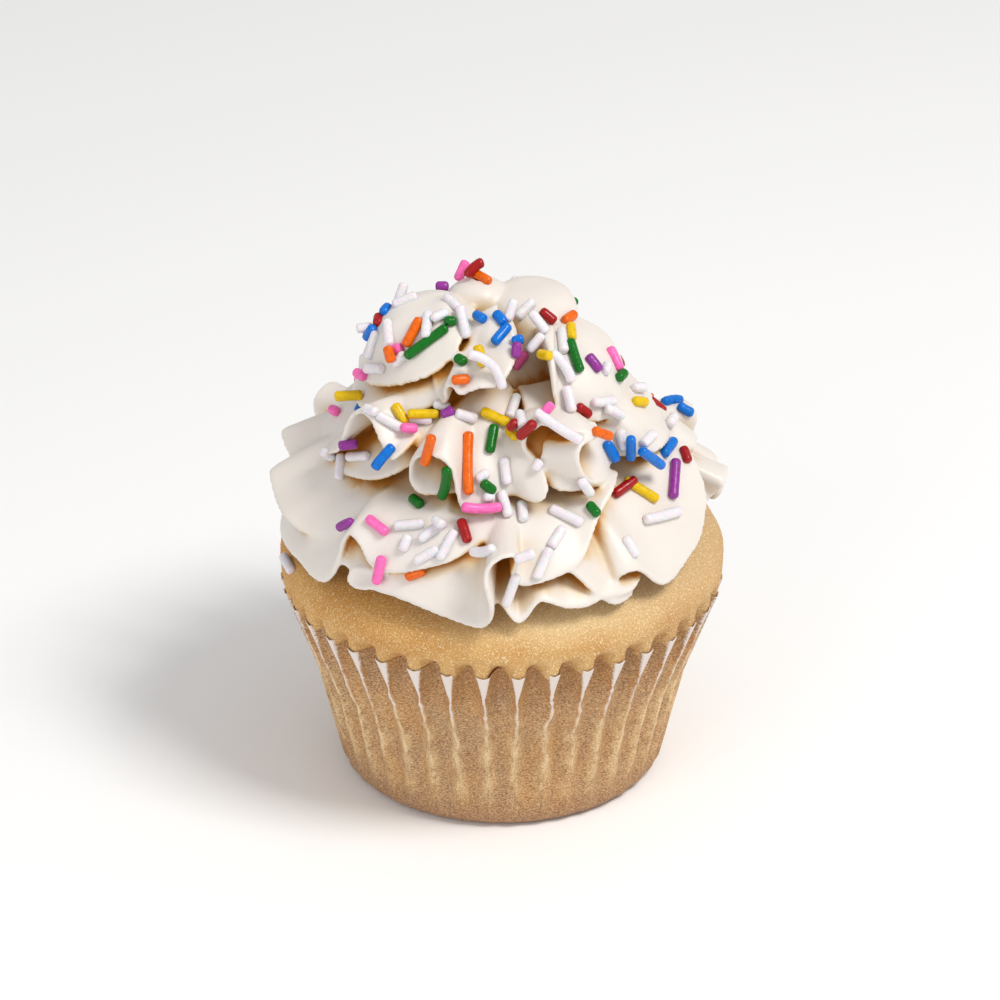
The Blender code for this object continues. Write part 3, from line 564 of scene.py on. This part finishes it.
# Each ribbon is a petal whose free edge doubles back. lip is that edge from end to end, and root the
# line that it hangs from as (share of the edge, bearing, radius, height). relax is the length over
# which the curls of the lip die away towards the root.
RIBBONS = (
    dict(name="right", cup=0.1, relax=4, power=1.6,
         root=((0, 10, 21, 59), (0.36, 29, 21, 58), (0.47, 33, 20.5, 58.5), (0.58, 38, 20.5, 59),
               (1, 86, 20, 62)),
         lip=((8, 30.5, 54), (14, 33.5, 52), (17.5, 34.2, 51), (20.5, 34.8, 49.3),
              (23, 35.2, 47.6), (25.7, 35.4, 45.9), (28.5, 35.5, 44.4), (30.6, 35.4, 43.8),
              (33.3, 35, 43.7), (36.3, 34.4, 43.9), (38, 33.6, 44.8), (36.8, 33, 45.8),
              (34.4, 33, 46.2), (32.4, 33.5, 46.3), (31.8, 34.4, 47.3), (33, 35.1, 48.6),
              (36, 35.5, 48.8), (39.4, 35.7, 47.6), (42.4, 35.8, 45.6), (45, 35.8, 44.4),
              (48.8, 35.6, 44.1), (53.2, 35.3, 44.8), (58, 35.2, 46), (62, 35.3, 47),
              (67.7, 35, 49.7), (72, 34.3, 53), (76, 32.3, 56.5), (82, 28.5, 60), (88, 24, 63))),
    dict(name="left_low", cup=0.12, relax=5, power=1.6,
         root=((0, -104, 25, 54), (0.45, -52, 25, 56), (0.6, -44, 24.5, 57.5), (1, -4, 24, 58)),
         lip=((-108, 33, 46), (-95, 35, 44), (-84, 36, 42.3), (-77.9, 36, 42.6), (-63.7, 36, 43.4),
              (-57, 36, 42.8), (-51.2, 36, 43.4), (-48, 35.8, 45.5), (-46.6, 35.5, 48.6),
              (-45.8, 35.2, 51.4), (-43.2, 34.8, 53.5), (-39.5, 35, 52.3), (-36.9, 35.2, 50.3),
              (-33.4, 35.3, 49.3), (-27, 35, 49.8), (-20.3, 34.5, 51.3), (-14, 33.6, 52.6),
              (-9, 32, 54), (-3, 30, 55.5))),
    dict(name="roll_left", cup=0, relax=3, power=1,
         root=((0, -34, 27, 52.5), (0.4, -38, 27, 52), (0.7, -38, 27, 50), (1, -33, 27, 50)),
         lip=((-31, 34.8, 48.8), (-36, 35, 48.4), (-39.2, 35.3, 48.2), (-41.8, 35.8, 47.5),
              (-42.5, 36.2, 46.2), (-40.4, 36.3, 45.4), (-37.2, 36.2, 45.6), (-34.2, 35.8, 46.4),
              (-31, 35.2, 47.2))),
    dict(name="pocket", cup=0.12, relax=4, power=1.6,
         root=((0, -76, 14, 66), (0.5, -52, 13, 69), (1, -38, 13, 69)),
         lip=((-84, 29, 55.5), (-76, 29.5, 58), (-67, 29.7, 60.8), (-60.5, 30, 63),
              (-58.2, 29.9, 65.2), (-57.4, 29.2, 68.2), (-55.5, 28.6, 70), (-52, 28, 70.9),
              (-47.5, 28, 70.5), (-44.3, 28.2, 68.7), (-40.7, 28.5, 66.8), (-37.5, 28.5, 65.2),
              (-35.5, 27.3, 65.9), (-34, 25, 67))),
    dict(name="roll", cup=0.12, relax=3, power=1.6,
         root=((0, -14, 15, 66), (0.12, -27, 13, 68), (0.3, -24, 12, 71), (0.43, -14, 11, 71.5),
               (0.55, -3, 13, 70), (0.62, 1, 14.5, 68.5), (0.7, 4, 17, 67), (0.82, 10, 18, 70),
               (1, 28, 17, 71)),
         lip=((-11, 25, 61.4), (-14.2, 26, 61.1), (-18, 26.4, 60.7), (-22.3, 26.9, 60.3),
              (-26.4, 27.2, 60), (-29.6, 27.7, 60.8), (-31.2, 28, 62.8), (-30.8, 28, 65.2),
              (-28, 28.2, 66.9), (-23.6, 28.3, 67.8), (-19, 28.3, 67.4), (-16.2, 28.2, 65.8),
              (-15, 28, 63.5), (-14.2, 28.2, 61.2), (-12.2, 28.3, 59), (-8.5, 28, 59.1),
              (-4.5, 27.2, 59.4), (-1, 26, 59.7), (2, 25, 60), (5, 25.2, 60.2), (8.3, 26.8, 60.2),
              (11, 28, 60.3), (13.4, 28.4, 61), (15, 28, 62.7), (14.7, 27, 64.4),
              (12.7, 25.6, 65.9), (9.6, 24.6, 66.9), (8.1, 24.4, 68.6), (8.7, 24.9, 70.6),
              (11.3, 25.7, 72.1), (14, 26, 73), (19, 27.2, 72.4), (25, 28, 71.4), (31, 28.3, 70.6),
              (36, 27.5, 69))),
    dict(name="trumpet", cup=-0.05, relax=2.5, power=1.4,
         root=((0, 20, 23, 68.8), (0.25, 16.5, 24, 68.5), (0.45, 15, 24.8, 67.2),
               (0.6, 15, 24.8, 65.7), (0.8, 17, 24, 64.3), (1, 20, 23, 64.5)),
         lip=((36, 25, 71), (32.3, 28, 70.3), (27.7, 28.9, 70.5), (24.5, 29.5, 69.6),
              (24.1, 29.6, 68), (25.1, 29.3, 65.9), (28, 28.6, 63.6), (32.4, 27.8, 61.8),
              (36.8, 27, 61.3), (39.6, 26, 62.1), (38.8, 25.3, 63.4), (35, 25, 63.8))),
)


def petal_sheet(petal, columns, rows):
    """Middle surface of a petal as a (columns, rows, 3) array in millimetres."""
    lip = np.array(petal["lip"], float)
    bearing = np.linspace(lip[0, 0], lip[-1, 0], columns)
    across = np.linspace(0, 1, rows)[None, :]
    root_radius, root_height = petal["root"]
    reach = (flow(bearing, lip[:, 0], lip[:, 1]) - root_radius)[:, None]
    rise = (flow(bearing, lip[:, 0], lip[:, 2]) - root_height)[:, None]
    crown = 4 * petal["cup"] * across * (1 - across)
    outward = reach * across - rise * crown
    upward = rise * across + reach * crown
    lift = np.zeros(columns)
    slide = np.zeros(columns)
    for centre, half, degrees, pinch, lean in petal.get("folds", ()):
        u = np.clip((bearing - centre) / half, -1, 1)
        bump = np.cos(np.pi * u / 2) ** 2
        lift += degrees * bump
        slide += half * (pinch * np.sin(2 * np.pi * u) * (1 - u * u) + lean * bump)
    turn = np.radians(lift)[:, None] * across
    drawn = 1 - petal["tuck"] * (1 - np.cos(turn))
    radius = root_radius + drawn * (outward * np.cos(turn) - upward * np.sin(turn))
    height = root_height + drawn * (outward * np.sin(turn) + upward * np.cos(turn))
    radius = radius + petal.get("flick", 0.4) * across ** 6
    around = np.radians(bearing[:, None] + slide[:, None] * across ** 1.5)
    middle_x, middle_y = petal.get("centre", (0, 0))
    return np.stack([middle_x + radius * np.sin(around), middle_y - radius * np.cos(around), height], -1)


def lip_lengths(ribbon):
    """Distance along a ribbon's lip to each of its keys."""
    points = [round_point(math.radians(bearing), radius, height) for bearing, radius, height in ribbon["lip"]]
    return np.concatenate([[0.0], np.cumsum(np.linalg.norm(np.diff(points, axis=0), axis=1))])


def ribbon_sheet(ribbon, columns, rows):
    """Middle surface of a ribbon, ruled from the line it hangs from to its curling lip."""
    lip = np.array(ribbon["lip"], float)
    lengths = lip_lengths(ribbon)
    travelled = np.linspace(0, lengths[-1], columns)
    edge = np.stack([flow(travelled, lengths, lip[:, k]) for k in range(3)], -1)
    spread = ribbon["relax"] / (travelled[1] - travelled[0])
    reach = min(columns - 1, int(3 * spread) + 1)
    weight = np.exp(-0.5 * (np.arange(-reach, reach + 1) / spread) ** 2)
    longer = np.concatenate([2 * edge[0] - edge[reach:0:-1], edge, 2 * edge[-1] - edge[-2:-reach - 2:-1]])
    calm = np.stack([np.convolve(longer[:, k], weight / weight.sum(), mode="valid") for k in range(3)], -1)
    line = np.array(ribbon["root"], float)
    root = np.stack([np.interp(travelled / lengths[-1], line[:, 0], line[:, k]) for k in (1, 2, 3)], -1)
    across = np.linspace(0, 1, rows)[None, :, None]
    run = calm - root
    sheet = root[:, None] + run[:, None] * across + (edge - calm)[:, None] * across ** ribbon["power"]
    crown = 4 * ribbon["cup"] * across[..., 0] * (1 - across[..., 0])
    radius = sheet[..., 1] - run[:, None, 2] * crown
    height = sheet[..., 2] + run[:, None, 1] * crown
    around = np.radians(sheet[..., 0])
    return np.stack([radius * np.sin(around), -radius * np.cos(around), height], -1)


def thickened(sheet, root):
    """Points and faces of a sheet given thickness: root where it starts, LIP at its free edge."""
    normal = np.cross(np.gradient(sheet, axis=0), np.gradient(sheet, axis=1))
    normal /= np.maximum(np.linalg.norm(normal, axis=-1, keepdims=True), 1e-9)
    columns, rows = sheet.shape[:2]
    half = (LIP + (root - LIP) * (1 - np.linspace(0, 1, rows)) ** 1.5) / 2
    half[-1] *= 0.55
    front, back = sheet + normal * half[None, :, None], sheet - normal * half[None, :, None]
    index = np.arange(columns * rows).reshape(columns, rows)
    far = index + columns * rows
    quads = np.stack([index[:-1, :-1], index[1:, :-1], index[1:, 1:], index[:-1, 1:]], -1).reshape(-1, 4)
    faces = [quads, quads[:, ::-1] + columns * rows]
    for near_edge, far_edge in ((far[:, -1], index[:, -1]), (index[:, 0], far[:, 0]),
                                (far[0], index[0]), (index[-1], far[-1])):
        faces.append(np.stack([near_edge[:-1], far_edge[:-1], far_edge[1:], near_edge[1:]], -1))
    return np.concatenate([front.reshape(-1, 3), back.reshape(-1, 3)]), np.concatenate(faces)


def mound_body():
    points = [round_point(math.tau * i / MOUND_SIDES, radius, height) for radius, height in MOUND
              for i in range(MOUND_SIDES)]
    faces = []
    for ring in range(len(MOUND) - 1):
        faces += band_faces(ring * MOUND_SIDES, (ring + 1) * MOUND_SIDES, MOUND_SIDES)
    return np.array(points), np.array(faces)


def apply_modifiers(made):
    graph = bpy.context.evaluated_depsgraph_get()
    mesh = bpy.data.meshes.new_from_object(made.evaluated_get(graph))
    made.modifiers.clear()
    made.data = mesh
    return mesh


bodies = [mound_body()]
for petal in PETALS:
    lip = petal["lip"]
    length = math.radians(lip[-1][0] - lip[0][0]) * max(key[1] for key in lip)
    bodies.append(thickened(petal_sheet(petal, max(24, int(length * 2.7)), PETAL_ROWS), ROOT))
for ribbon in RIBBONS:
    columns = max(24, int(lip_lengths(ribbon)[-1] * 2.7))
    bodies.append(thickened(ribbon_sheet(ribbon, columns, PETAL_ROWS), 2.4))
offsets = np.cumsum([0] + [len(points) for points, faces in bodies])
frosting_points = np.concatenate([points for points, faces in bodies])
frosting_faces = np.concatenate([faces + offset for (points, faces), offset in zip(bodies, offsets)])


def depth_of_hollow(mesh, reach, rays):
    """For each point, 0 out in the open to 1 deep in a crease, from rays sent out over its surface."""
    count = len(mesh.vertices)
    places = np.empty(count * 3)
    normals = np.empty(count * 3)
    mesh.vertices.foreach_get("co", places)
    mesh.vertex_normals.foreach_get("vector", normals)
    places, normals = places.reshape(-1, 3), normals.reshape(-1, 3)
    tree = BVHTree.FromPolygons(places.tolist(), [tuple(face.vertices) for face in mesh.polygons])
    side = np.cross(normals, np.where(np.abs(normals[:, 2:]) < 0.8, (0.0, 0.0, 1.0), (1.0, 0.0, 0.0)))
    side /= np.linalg.norm(side, axis=1, keepdims=True)
    over = np.cross(normals, side)
    starts = places + normals * 0.15 * MM
    hidden = np.zeros(count)
    for ray in range(rays):
        lift = math.sqrt((ray + 0.5) / rays)
        flat = math.sqrt(1 - lift * lift)
        turn = ray * 2.39996
        aims = normals * lift + (side * math.cos(turn) + over * math.sin(turn)) * flat
        for n, (start, aim) in enumerate(zip(starts.tolist(), aims.tolist())):
            away = tree.ray_cast(start, aim, reach)[3]
            if away is not None:
                hidden[n] += 1 - away / reach
    edges = np.empty(len(mesh.edges) * 2, np.int32)
    mesh.edges.foreach_get("vertices", edges)
    first, second = edges.reshape(-1, 2).T
    ways = np.bincount(first, minlength=count) + np.bincount(second, minlength=count)
    hidden /= rays
    for smoothing in range(4):
        around = np.bincount(first, hidden[second], count) + np.bincount(second, hidden[first], count)
        hidden = 0.4 * hidden + 0.6 * around / ways
    return hidden


def build_cream():
    """Whipped cream frosting: off-white with a satin skin, with painted yellow-brown shade deep in its creases."""
    made, tree, shader = surface("whipped_cream", 0.42)
    shader.inputs["Subsurface Weight"].default_value = 0.2
    shader.inputs["Subsurface Radius"].default_value = (1.0, 0.72, 0.42)
    shader.inputs["Subsurface Scale"].default_value = 0.002
    crease_shade_mask = add(tree, "ShaderNodeAttribute", attribute_name="crease_shade_mask").outputs["Fac"]
    broad = grain(tree, 14.0, 1.0, 2.0, 2.0)
    fine = grain(tree, 0.7, 1.0, 2.0, 1.5)
    colour = blend(tree, broad, tint(223, 214, 205), tint(229, 222, 215))
    # Painted shade: pale tan, then deep yellow-brown, the more enclosed a point is in a crease.
    colour = blend(tree, slope(tree, crease_shade_mask, 0.07, 0.3), colour, tint(220, 196, 158))
    colour = blend(tree, slope(tree, crease_shade_mask, 0.24, 0.46), colour, tint(194, 130, 48))
    tree.links.new(colour, shader.inputs["Base Color"])
    bump = add(tree, "ShaderNodeBump", {"Height": fine, "Strength": 0.12, "Distance": 0.0001})
    tree.links.new(bump.outputs[0], shader.inputs["Normal"])
    return made


frosting = add_piece("piped_frosting", frosting_points, frosting_faces.tolist(), build_cream())
fuse = frosting.modifiers.new("Fuse", "REMESH")
fuse.mode = "VOXEL"
fuse.voxel_size = VOXEL * MM
settle = frosting.modifiers.new("Settle", "SMOOTH")
settle.factor = 0.5
settle.iterations = 3
fused = apply_modifiers(frosting)
fewer = frosting.modifiers.new("Fewer faces", "DECIMATE")
fewer.ratio = min(1.0, FROSTING_TRIANGLES / (2 * len(fused.polygons)))
creamy = apply_modifiers(frosting)
creamy.shade_smooth()
# How enclosed each point is: the mask for the cream's painted crease shade.
hollows = creamy.attributes.new("crease_shade_mask", "FLOAT", "POINT")
hollows.data.foreach_set("value", depth_of_hollow(creamy, 9 * MM, 12).astype(np.float32))
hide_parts("frosting")


# Sprinkles --------------------------------------------------------------------------------------
# Short rods of coloured pressed sugar with blunt round ends, a few of them bent. They were thrown
# over the fresh frosting, stick where they fell and lie across one another in places.

ROD_RADIUS = 0.83
ROD_SIDES = 10
ROD_STEPS = 9
SINK = 0.35                     # how deep a rod has settled into the cream
STEEPEST = 1.1                  # slope to which a rod may lean away from the side it was thrown from

# Rods on the front as (across, up, turn, length, bend): where the middle of each is seen from the
# front, in millimetres from the middle of the view, which way it points, and how far it is bent.
FRONT_RODS = {
    "white": (
        (-16.3, 34, 70, 3.4, 0), (-15.5, 32.5, 22, 4.2, 0), (-11.9, 28.5, 84, 4.8, 5),
        (-9.8, 30, 25, 3, 30), (-7.8, 32.2, -42, 3.8, 0), (-6, 29, -78, 5.4, 0),
        (-1.6, 21.5, -45, 8.6, 85), (-16.4, 22.9, 45, 3, 0), (-20.5, 21.3, 0, 4.4, 0),
        (-18.2, 27.2, -85, 5, 0), (-20.8, 25.2, 73, 4.8, 10), (-22, 28, 5, 2.8, 0),
        (-13, 13.2, -5, 4, 0), (-5.5, 13.7, -15, 3.8, 0), (-9.5, 15.4, -15, 2.8, 0),
        (-18, 12.8, -30, 4.6, 0), (-21, 14.7, -20, 3, 0), (-23.1, 7.1, 3, 5.2, 0),
        (-26, 5.5, 85, 4.4, 0), (-28, 7.4, -30, 2.8, 0), (2.2, 15.3, 72, 4.8, 0),
        (3.4, 13.2, -75, 3.6, 0), (9.5, 11.9, -33, 8.8, -10), (11.3, 16.4, -78, 4.4, 0),
        (17, 16, 5, 5, -25), (18.7, 14.3, -25, 4.2, 15), (10.3, 21.8, -55, 6, 45),
        (10.2, 26, -83, 5.5, 0), (1.8, 31, 72, 3.6, 0), (4.1, 31, 45, 4.2, 0),
        (6.3, 29, -52, 4.2, 0), (5.8, 25.6, 48, 3.6, 0), (17.4, 21.5, 75, 2.4, 0),
        (22.7, 18.3, 3, 3.2, 0), (28, 13, 60, 2.8, 0), (24.2, 10, 45, 4, 0),
        (19.9, 9.8, -75, 3.4, 0), (26.5, -2.5, 14, 7.6, -8), (21.3, -7.6, -58, 3.8, 0),
        (0.9, 4.7, -84, 4.4, 0), (6.1, 5.7, 60, 2, 0), (-1.8, 0.5, 0, 1.9, 0),
        (0.8, -0.6, -72, 4.4, 0), (3.7, -1.8, -82, 3.8, 0), (-2.8, 3.9, 40, 2.4, 0),
        (14, 1.9, -55, 4, 0), (10.8, -2.5, -25, 5.8, 0), (9.3, -6, 58, 4.2, 0),
        (7, -10.3, 66, 5.4, 0), (4, -9.2, 20, 3.4, 0), (1.8, -14.7, 70, 6, 0),
        (-2.8, -8.3, 8, 5.4, -40), (-14.8, -4, 5, 5, 0), (-11, -5, 36, 5.2, 0),
        (-8.6, -7.3, 62, 5.4, 0), (-15.4, -7, 70, 2.8, 0), (-12, -9, 30, 4.5, 0),
        (-10, -3.6, -40, 2.6, 0), (-34.6, -10.3, -62, 4.6, 0)),
    "yellow": (
        (-4.6, 26.4, -75, 3.6, 0), (-24.7, 17, 3, 4.6, 0), (-16.2, 14, -58, 3.8, 0),
        (-12.5, 14, 0, 5, 0), (-0.8, 13.5, -25, 4.9, 0), (2, 10.8, -45, 2.8, 0),
        (7.3, 23.6, -12, 3, 0), (11.6, 27.4, -85, 3.8, 0), (22.8, 16, -5, 3.2, 0),
        (23, 1.7, -32, 6.4, 0)),
    "pink": (
        (-6.2, 37.3, 66, 3.6, 0), (-17, 24.5, 20, 2.8, 0), (3.3, 22.7, 52, 3.4, 0),
        (18.7, 23, -64, 4.2, 0), (-27, 14.6, -25, 2.2, 0), (-14.8, 11.7, -5, 2.8, 0),
        (7.2, 16, 48, 3.4, 0), (-3, -1.3, 0, 6.4, -25), (-20, -4.1, -38, 4.4, 0),
        (-19.7, -11.4, 78, 4.9, 0), (-22.8, 20.4, -30, 2.8, 0)),
    "orange": (
        (-3.2, 36.4, -30, 4.4, 0), (-14.2, 27.3, 62, 5.2, 0), (-18, 23.7, -75, 2.8, 0),
        (-6.4, 19.6, 5, 2.9, 0), (11.3, 29.7, 36, 3.4, 0), (-11.7, 8.1, 75, 5.6, 0),
        (-5.2, 6, 90, 10.2, 8), (16.7, 10.8, -20, 4, 0), (-13.8, -12, 20, 3.4, 0)),
    "purple": (
        (-10.4, 35.6, 0, 2.2, 0), (2.7, 24.4, 85, 2.6, 0), (15.3, 22.3, -52, 3.3, 0),
        (-24.7, 9, 8, 3.2, 0), (-8.5, 14.2, 30, 2.3, 0), (-25.2, -4, 25, 3.8, 12),
        (28.4, 3.5, 86, 7, 0)),
    "red": (
        (-4.2, 37.7, 42, 3.8, 40), (-19.8, 29.3, 80, 2.5, 0), (7.8, 29.9, -38, 3.1, 0),
        (4.3, 11.4, 44, 4.4, 0), (13.6, 14.5, -38, 3, 0), (2.1, 12.2, 45, 2.4, 0),
        (20.6, 2.5, 36, 5, 0), (30.2, 7.4, -70, 3, 0), (-5.8, -5, -72, 4.2, 8)),
    "blue": (
        (-21.2, 27.2, 58, 3.4, 0), (-18.6, 31, 50, 2.4, 0), (-3.3, 29.8, -30, 2.8, 0),
        (0, 29.6, -50, 2.8, 0), (0.2, 27, 50, 4.2, 0), (2.9, 26, 20, 2, 0),
        (28, 16.2, 8, 4.6, 25), (30.2, 14.7, -30, 3, -20), (-19, 7, 50, 4.9, 10),
        (18.1, 7.9, -60, 3.9, 15), (21.3, 8.4, 90, 5.3, 0), (27.5, 8.6, 54, 4.6, 0),
        (24.7, 6.8, -36, 6.6, 0)),
    "green": (
        (-8.1, 29.1, 0, 2, 0), (-12, 25.7, 36, 8.2, 0), (-6.4, 22.8, -30, 2.2, 0),
        (12.2, 23.5, -72, 6, -8), (19.8, 20.3, 45, 2.5, 0), (-1.3, 10, 80, 4.8, 0),
        (-9.1, 2.6, 80, 6.4, -25), (-13.6, -0.2, -40, 2.9, 0), (-1.9, 2.1, -38, 2.8, 0),
        (15.2, -1.5, -50, 2.8, 0)),
}
SUGAR = {                       # colour of each kind, and how many more lie at the sides and back
    "white": (tint(227, 224, 228), 52),
    "yellow": (tint(228, 188, 2), 11),
    "pink": (tint(248, 110, 182), 12),
    "orange": (tint(232, 102, 4), 10),
    "purple": (tint(146, 52, 148), 9),
    "red": (tint(162, 20, 22), 10),
    "blue": (tint(0, 112, 206), 12),
    "green": (tint(0, 106, 18), 11),
}
THROWN_FROM = (75, 120, 165, 210, 255, 290)     # bearings of the views from which the rest is thrown

frosting_points = np.empty(len(frosting.data.vertices) * 3)
frosting.data.vertices.foreach_get("co", frosting_points)
ground_points = [Vector(point) for point in frosting_points.reshape(-1, 3)]
ground_faces = [tuple(face.vertices) for face in frosting.data.polygons]
ground_faces += [tuple(i + len(ground_points) for i in face.vertices) for face in cake.data.polygons]
ground_points += [vertex.co.copy() for vertex in cake.data.vertices]
ground = BVHTree.FromPolygons(ground_points, ground_faces)
laid = []                       # (end, end) of every rod so far


def depth_of_ground(start, direction):
    """Distance to the cream, the sponge or a rod already lying there, or None."""
    nearest = ground.ray_cast(start, direction)[3]
    for first, second in laid:
        axis = second - first
        offset = first - start
        across = direction.dot(axis)
        spread = axis.length_squared - across * across
        if spread < 1e-12:
            continue
        share = min(1.0, max(0.0, (across * direction.dot(offset) - axis.dot(offset)) / spread))
        gap = offset + axis * share
        away = gap.dot(direction)
        miss = (gap - direction * away).length
        if miss < ROD_RADIUS * MM:
            top = away - math.sqrt((ROD_RADIUS * MM) ** 2 - miss * miss)
            nearest = top if nearest is None else min(nearest, top)
    return nearest


def throw(bearing, across, up, turn, length):
    """Where a rod thrown from a bearing comes to lie, as its middle and its unit direction."""
    turned = Vector((math.cos(bearing), math.sin(bearing), 0.0))
    toward = Vector((math.sin(bearing) * math.cos(LOOK_DOWN), -math.cos(bearing) * math.cos(LOOK_DOWN),
                     math.sin(LOOK_DOWN)))
    upright = toward.cross(turned)
    start = LOOK_AT + toward * STAND_BACK
    middle = LOOK_AT + (turned * across + upright * up) * MM
    heading = turned * math.cos(turn) + upright * math.sin(turn)
    found = []
    for share in (-0.5, -0.3, -0.1, 0.1, 0.3, 0.5):
        direction = (middle + heading * share * length * MM - start).normalized()
        depth = depth_of_ground(start, direction)
        if depth is not None:
            found.append((share * length * MM, depth))
    if not found:
        probe = start + (middle - start).normalized() * (STAND_BACK - 12 * MM)
        spot, normal, _, away = ground.find_nearest(probe)
        line = (middle - start).normalized()
        depth = (spot - start).dot(line)
        return start + line * depth, heading
    nearest = min(depth for place, depth in found)
    near = [(place, depth) for place, depth in found if depth < nearest + length * MM * 1.2]
    places = np.array([place for place, depth in near])
    depths = np.array([depth for place, depth in near])
    lean = 0.0
    if len(near) > 2:
        lean = float(np.clip(np.polyfit(places, depths, 1)[0], -STEEPEST, STEEPEST))
    depth = float(np.min(depths - lean * places)) - (ROD_RADIUS - SINK) * MM * math.hypot(1, lean)
    line = (middle - start).normalized()
    return start + line * depth, (heading + line * lean).normalized()


def settled(middle, direction, length):
    """The middle of a rod, drawn to the nearest cream or sponge when it would hang clear of both."""
    touching = (ROD_RADIUS - SINK) * MM
    if any(((first + second) / 2 - middle).length < 3.2 * MM for first, second in laid):
        return middle
    for pull in range(2):
        found = []
        for share in (-0.4, -0.2, 0.0, 0.2, 0.4):
            place = middle + direction * share * length * MM
            spot, normal, _, away = ground.find_nearest(place)
            found.append((away, spot - place))
        away, shift = min(found, key=lambda item: item[0])
        if away > touching:
            middle = middle + shift * (1 - touching / away)
    return middle


def rod_mesh(middle, direction, toward, length, bend):
    """Points and faces of one rod, bent in the plane that faces the side it was thrown from."""
    sideways = direction.cross(toward).normalized()
    over = sideways.cross(direction)
    curve = math.radians(bend)
    radius = ROD_RADIUS * (1 + 0.07 * (chance.random() - 0.5))
    half = length / 2
    shares = [-1 + 2 * i / (ROD_STEPS - 1) for i in range(ROD_STEPS)]
    ends = [(-half + 0.02, 0.35), (-half + 0.12, 0.7), (-half + 0.36, 0.95)]
    inner = [(share * (half - 0.7), 1 + 0.04 * wobble(share * 2, seed=chance.random() * 9)) for share in shares]
    stations = ends + inner + [(-at, width) for at, width in reversed(ends)]
    points = []
    for at, width in stations:
        angle = curve * at / length
        shift = at if abs(curve) < 1e-6 else math.sin(angle) * length / curve
        drop = 0.0 if abs(curve) < 1e-6 else (1 - math.cos(angle)) * length / curve
        centre = middle + (direction * shift + sideways * (drop - curve * length / 24)) * MM
        across = sideways * math.cos(angle) - direction * math.sin(angle)
        for side in range(ROD_SIDES):
            turn = math.tau * side / ROD_SIDES
            points.append(centre + (across * math.cos(turn) + over * math.sin(turn)) * radius * width * MM)
    faces = []
    for ring in range(len(stations) - 1):
        faces += band_faces(ring * ROD_SIDES, (ring + 1) * ROD_SIDES, ROD_SIDES)
    faces.append(tuple(range(ROD_SIDES))[::-1])
    faces.append(tuple(range(len(points) - ROD_SIDES, len(points))))
    return points, faces


def build_sugar(name, colour):
    """Pressed sugar: a dull sheen with the colour a little uneven."""
    made, tree, shader = surface("sugar_" + name, 0.24)
    shader.inputs["Specular IOR Level"].default_value = 0.25
    shader.inputs["Coat Weight"].default_value = 0.18
    shader.inputs["Coat Roughness"].default_value = 0.08
    shader.inputs["Subsurface Weight"].default_value = 0.05 if name != "white" else 0.6
    shader.inputs["Subsurface Scale"].default_value = 0.0008
    deep = tuple(value * 0.72 for value in colour[:3]) + (1.0,)
    mottle = grain(tree, 0.9, 1.0, 2.0, 2.2)
    share = slope(tree, mottle, 0.1, 0.6, 0.6 if name != "white" else 0.2, 0.0)
    tree.links.new(blend(tree, share, colour, deep), shader.inputs["Base Color"])
    bump = add(tree, "ShaderNodeBump", {"Height": grain(tree, 0.45), "Strength": 0.5, "Distance": 0.00007})
    tree.links.new(bump.outputs[0], shader.inputs["Normal"])
    return made


def seen_from_front(middle, half):
    """Whether any part of a rod shows from the front, where every rod has its own place."""
    for place in (middle - half, middle, middle + half):
        line = place - eye
        away = ground.ray_cast(eye, line.normalized())[3]
        if away is None or away > line.length - 2.5 * MM:
            return True
    return False


chance = np.random.default_rng(11)
rods = {name: [] for name in SUGAR}
for name, places in FRONT_RODS.items():
    for across, up, turn, length, bend in places:
        middle, direction = throw(0.0, across, up, math.radians(turn), length)
        middle = settled(middle, direction, length)
        laid.append((middle - direction * (length / 2 - 0.7) * MM, middle + direction * (length / 2 - 0.7) * MM))
        rods[name].append(rod_mesh(middle, direction, view_side, length, bend))
for name, (colour, count) in SUGAR.items():
    while count:
        bearing = math.radians(chance.choice(THROWN_FROM) + chance.uniform(-20, 20))
        across, up = chance.uniform(-19, 19), chance.uniform(-11, 36)
        length = 2.2 + 3.4 * chance.random() ** 1.6
        if abs(across) > 12 + 12 * (36 - up) / 47:
            continue
        middle, direction = throw(bearing, across, up, chance.uniform(0, math.pi), length)
        middle = settled(middle, direction, length)
        crowded = any((middle - (first + second) / 2).length < 3.4 * MM for first, second in laid)
        if crowded or middle.z < 44 * MM or seen_from_front(middle, direction * length / 2 * MM):
            continue
        laid.append((middle - direction * (length / 2 - 0.7) * MM, middle + direction * (length / 2 - 0.7) * MM))
        away = Vector((middle.x, middle.y, 20 * MM)).normalized()
        rods[name].append(rod_mesh(middle, direction, away, length, chance.normal(0, 9)))
        count -= 1
for name, (colour, count) in SUGAR.items():
    points, faces = [], []
    for rod_points, rod_faces in rods[name]:
        faces += [tuple(i + len(points) for i in face) for face in rod_faces]
        points += [point / MM for point in rod_points]
    kind = add_piece("sprinkles_" + name, points, faces, build_sugar(name, colour))
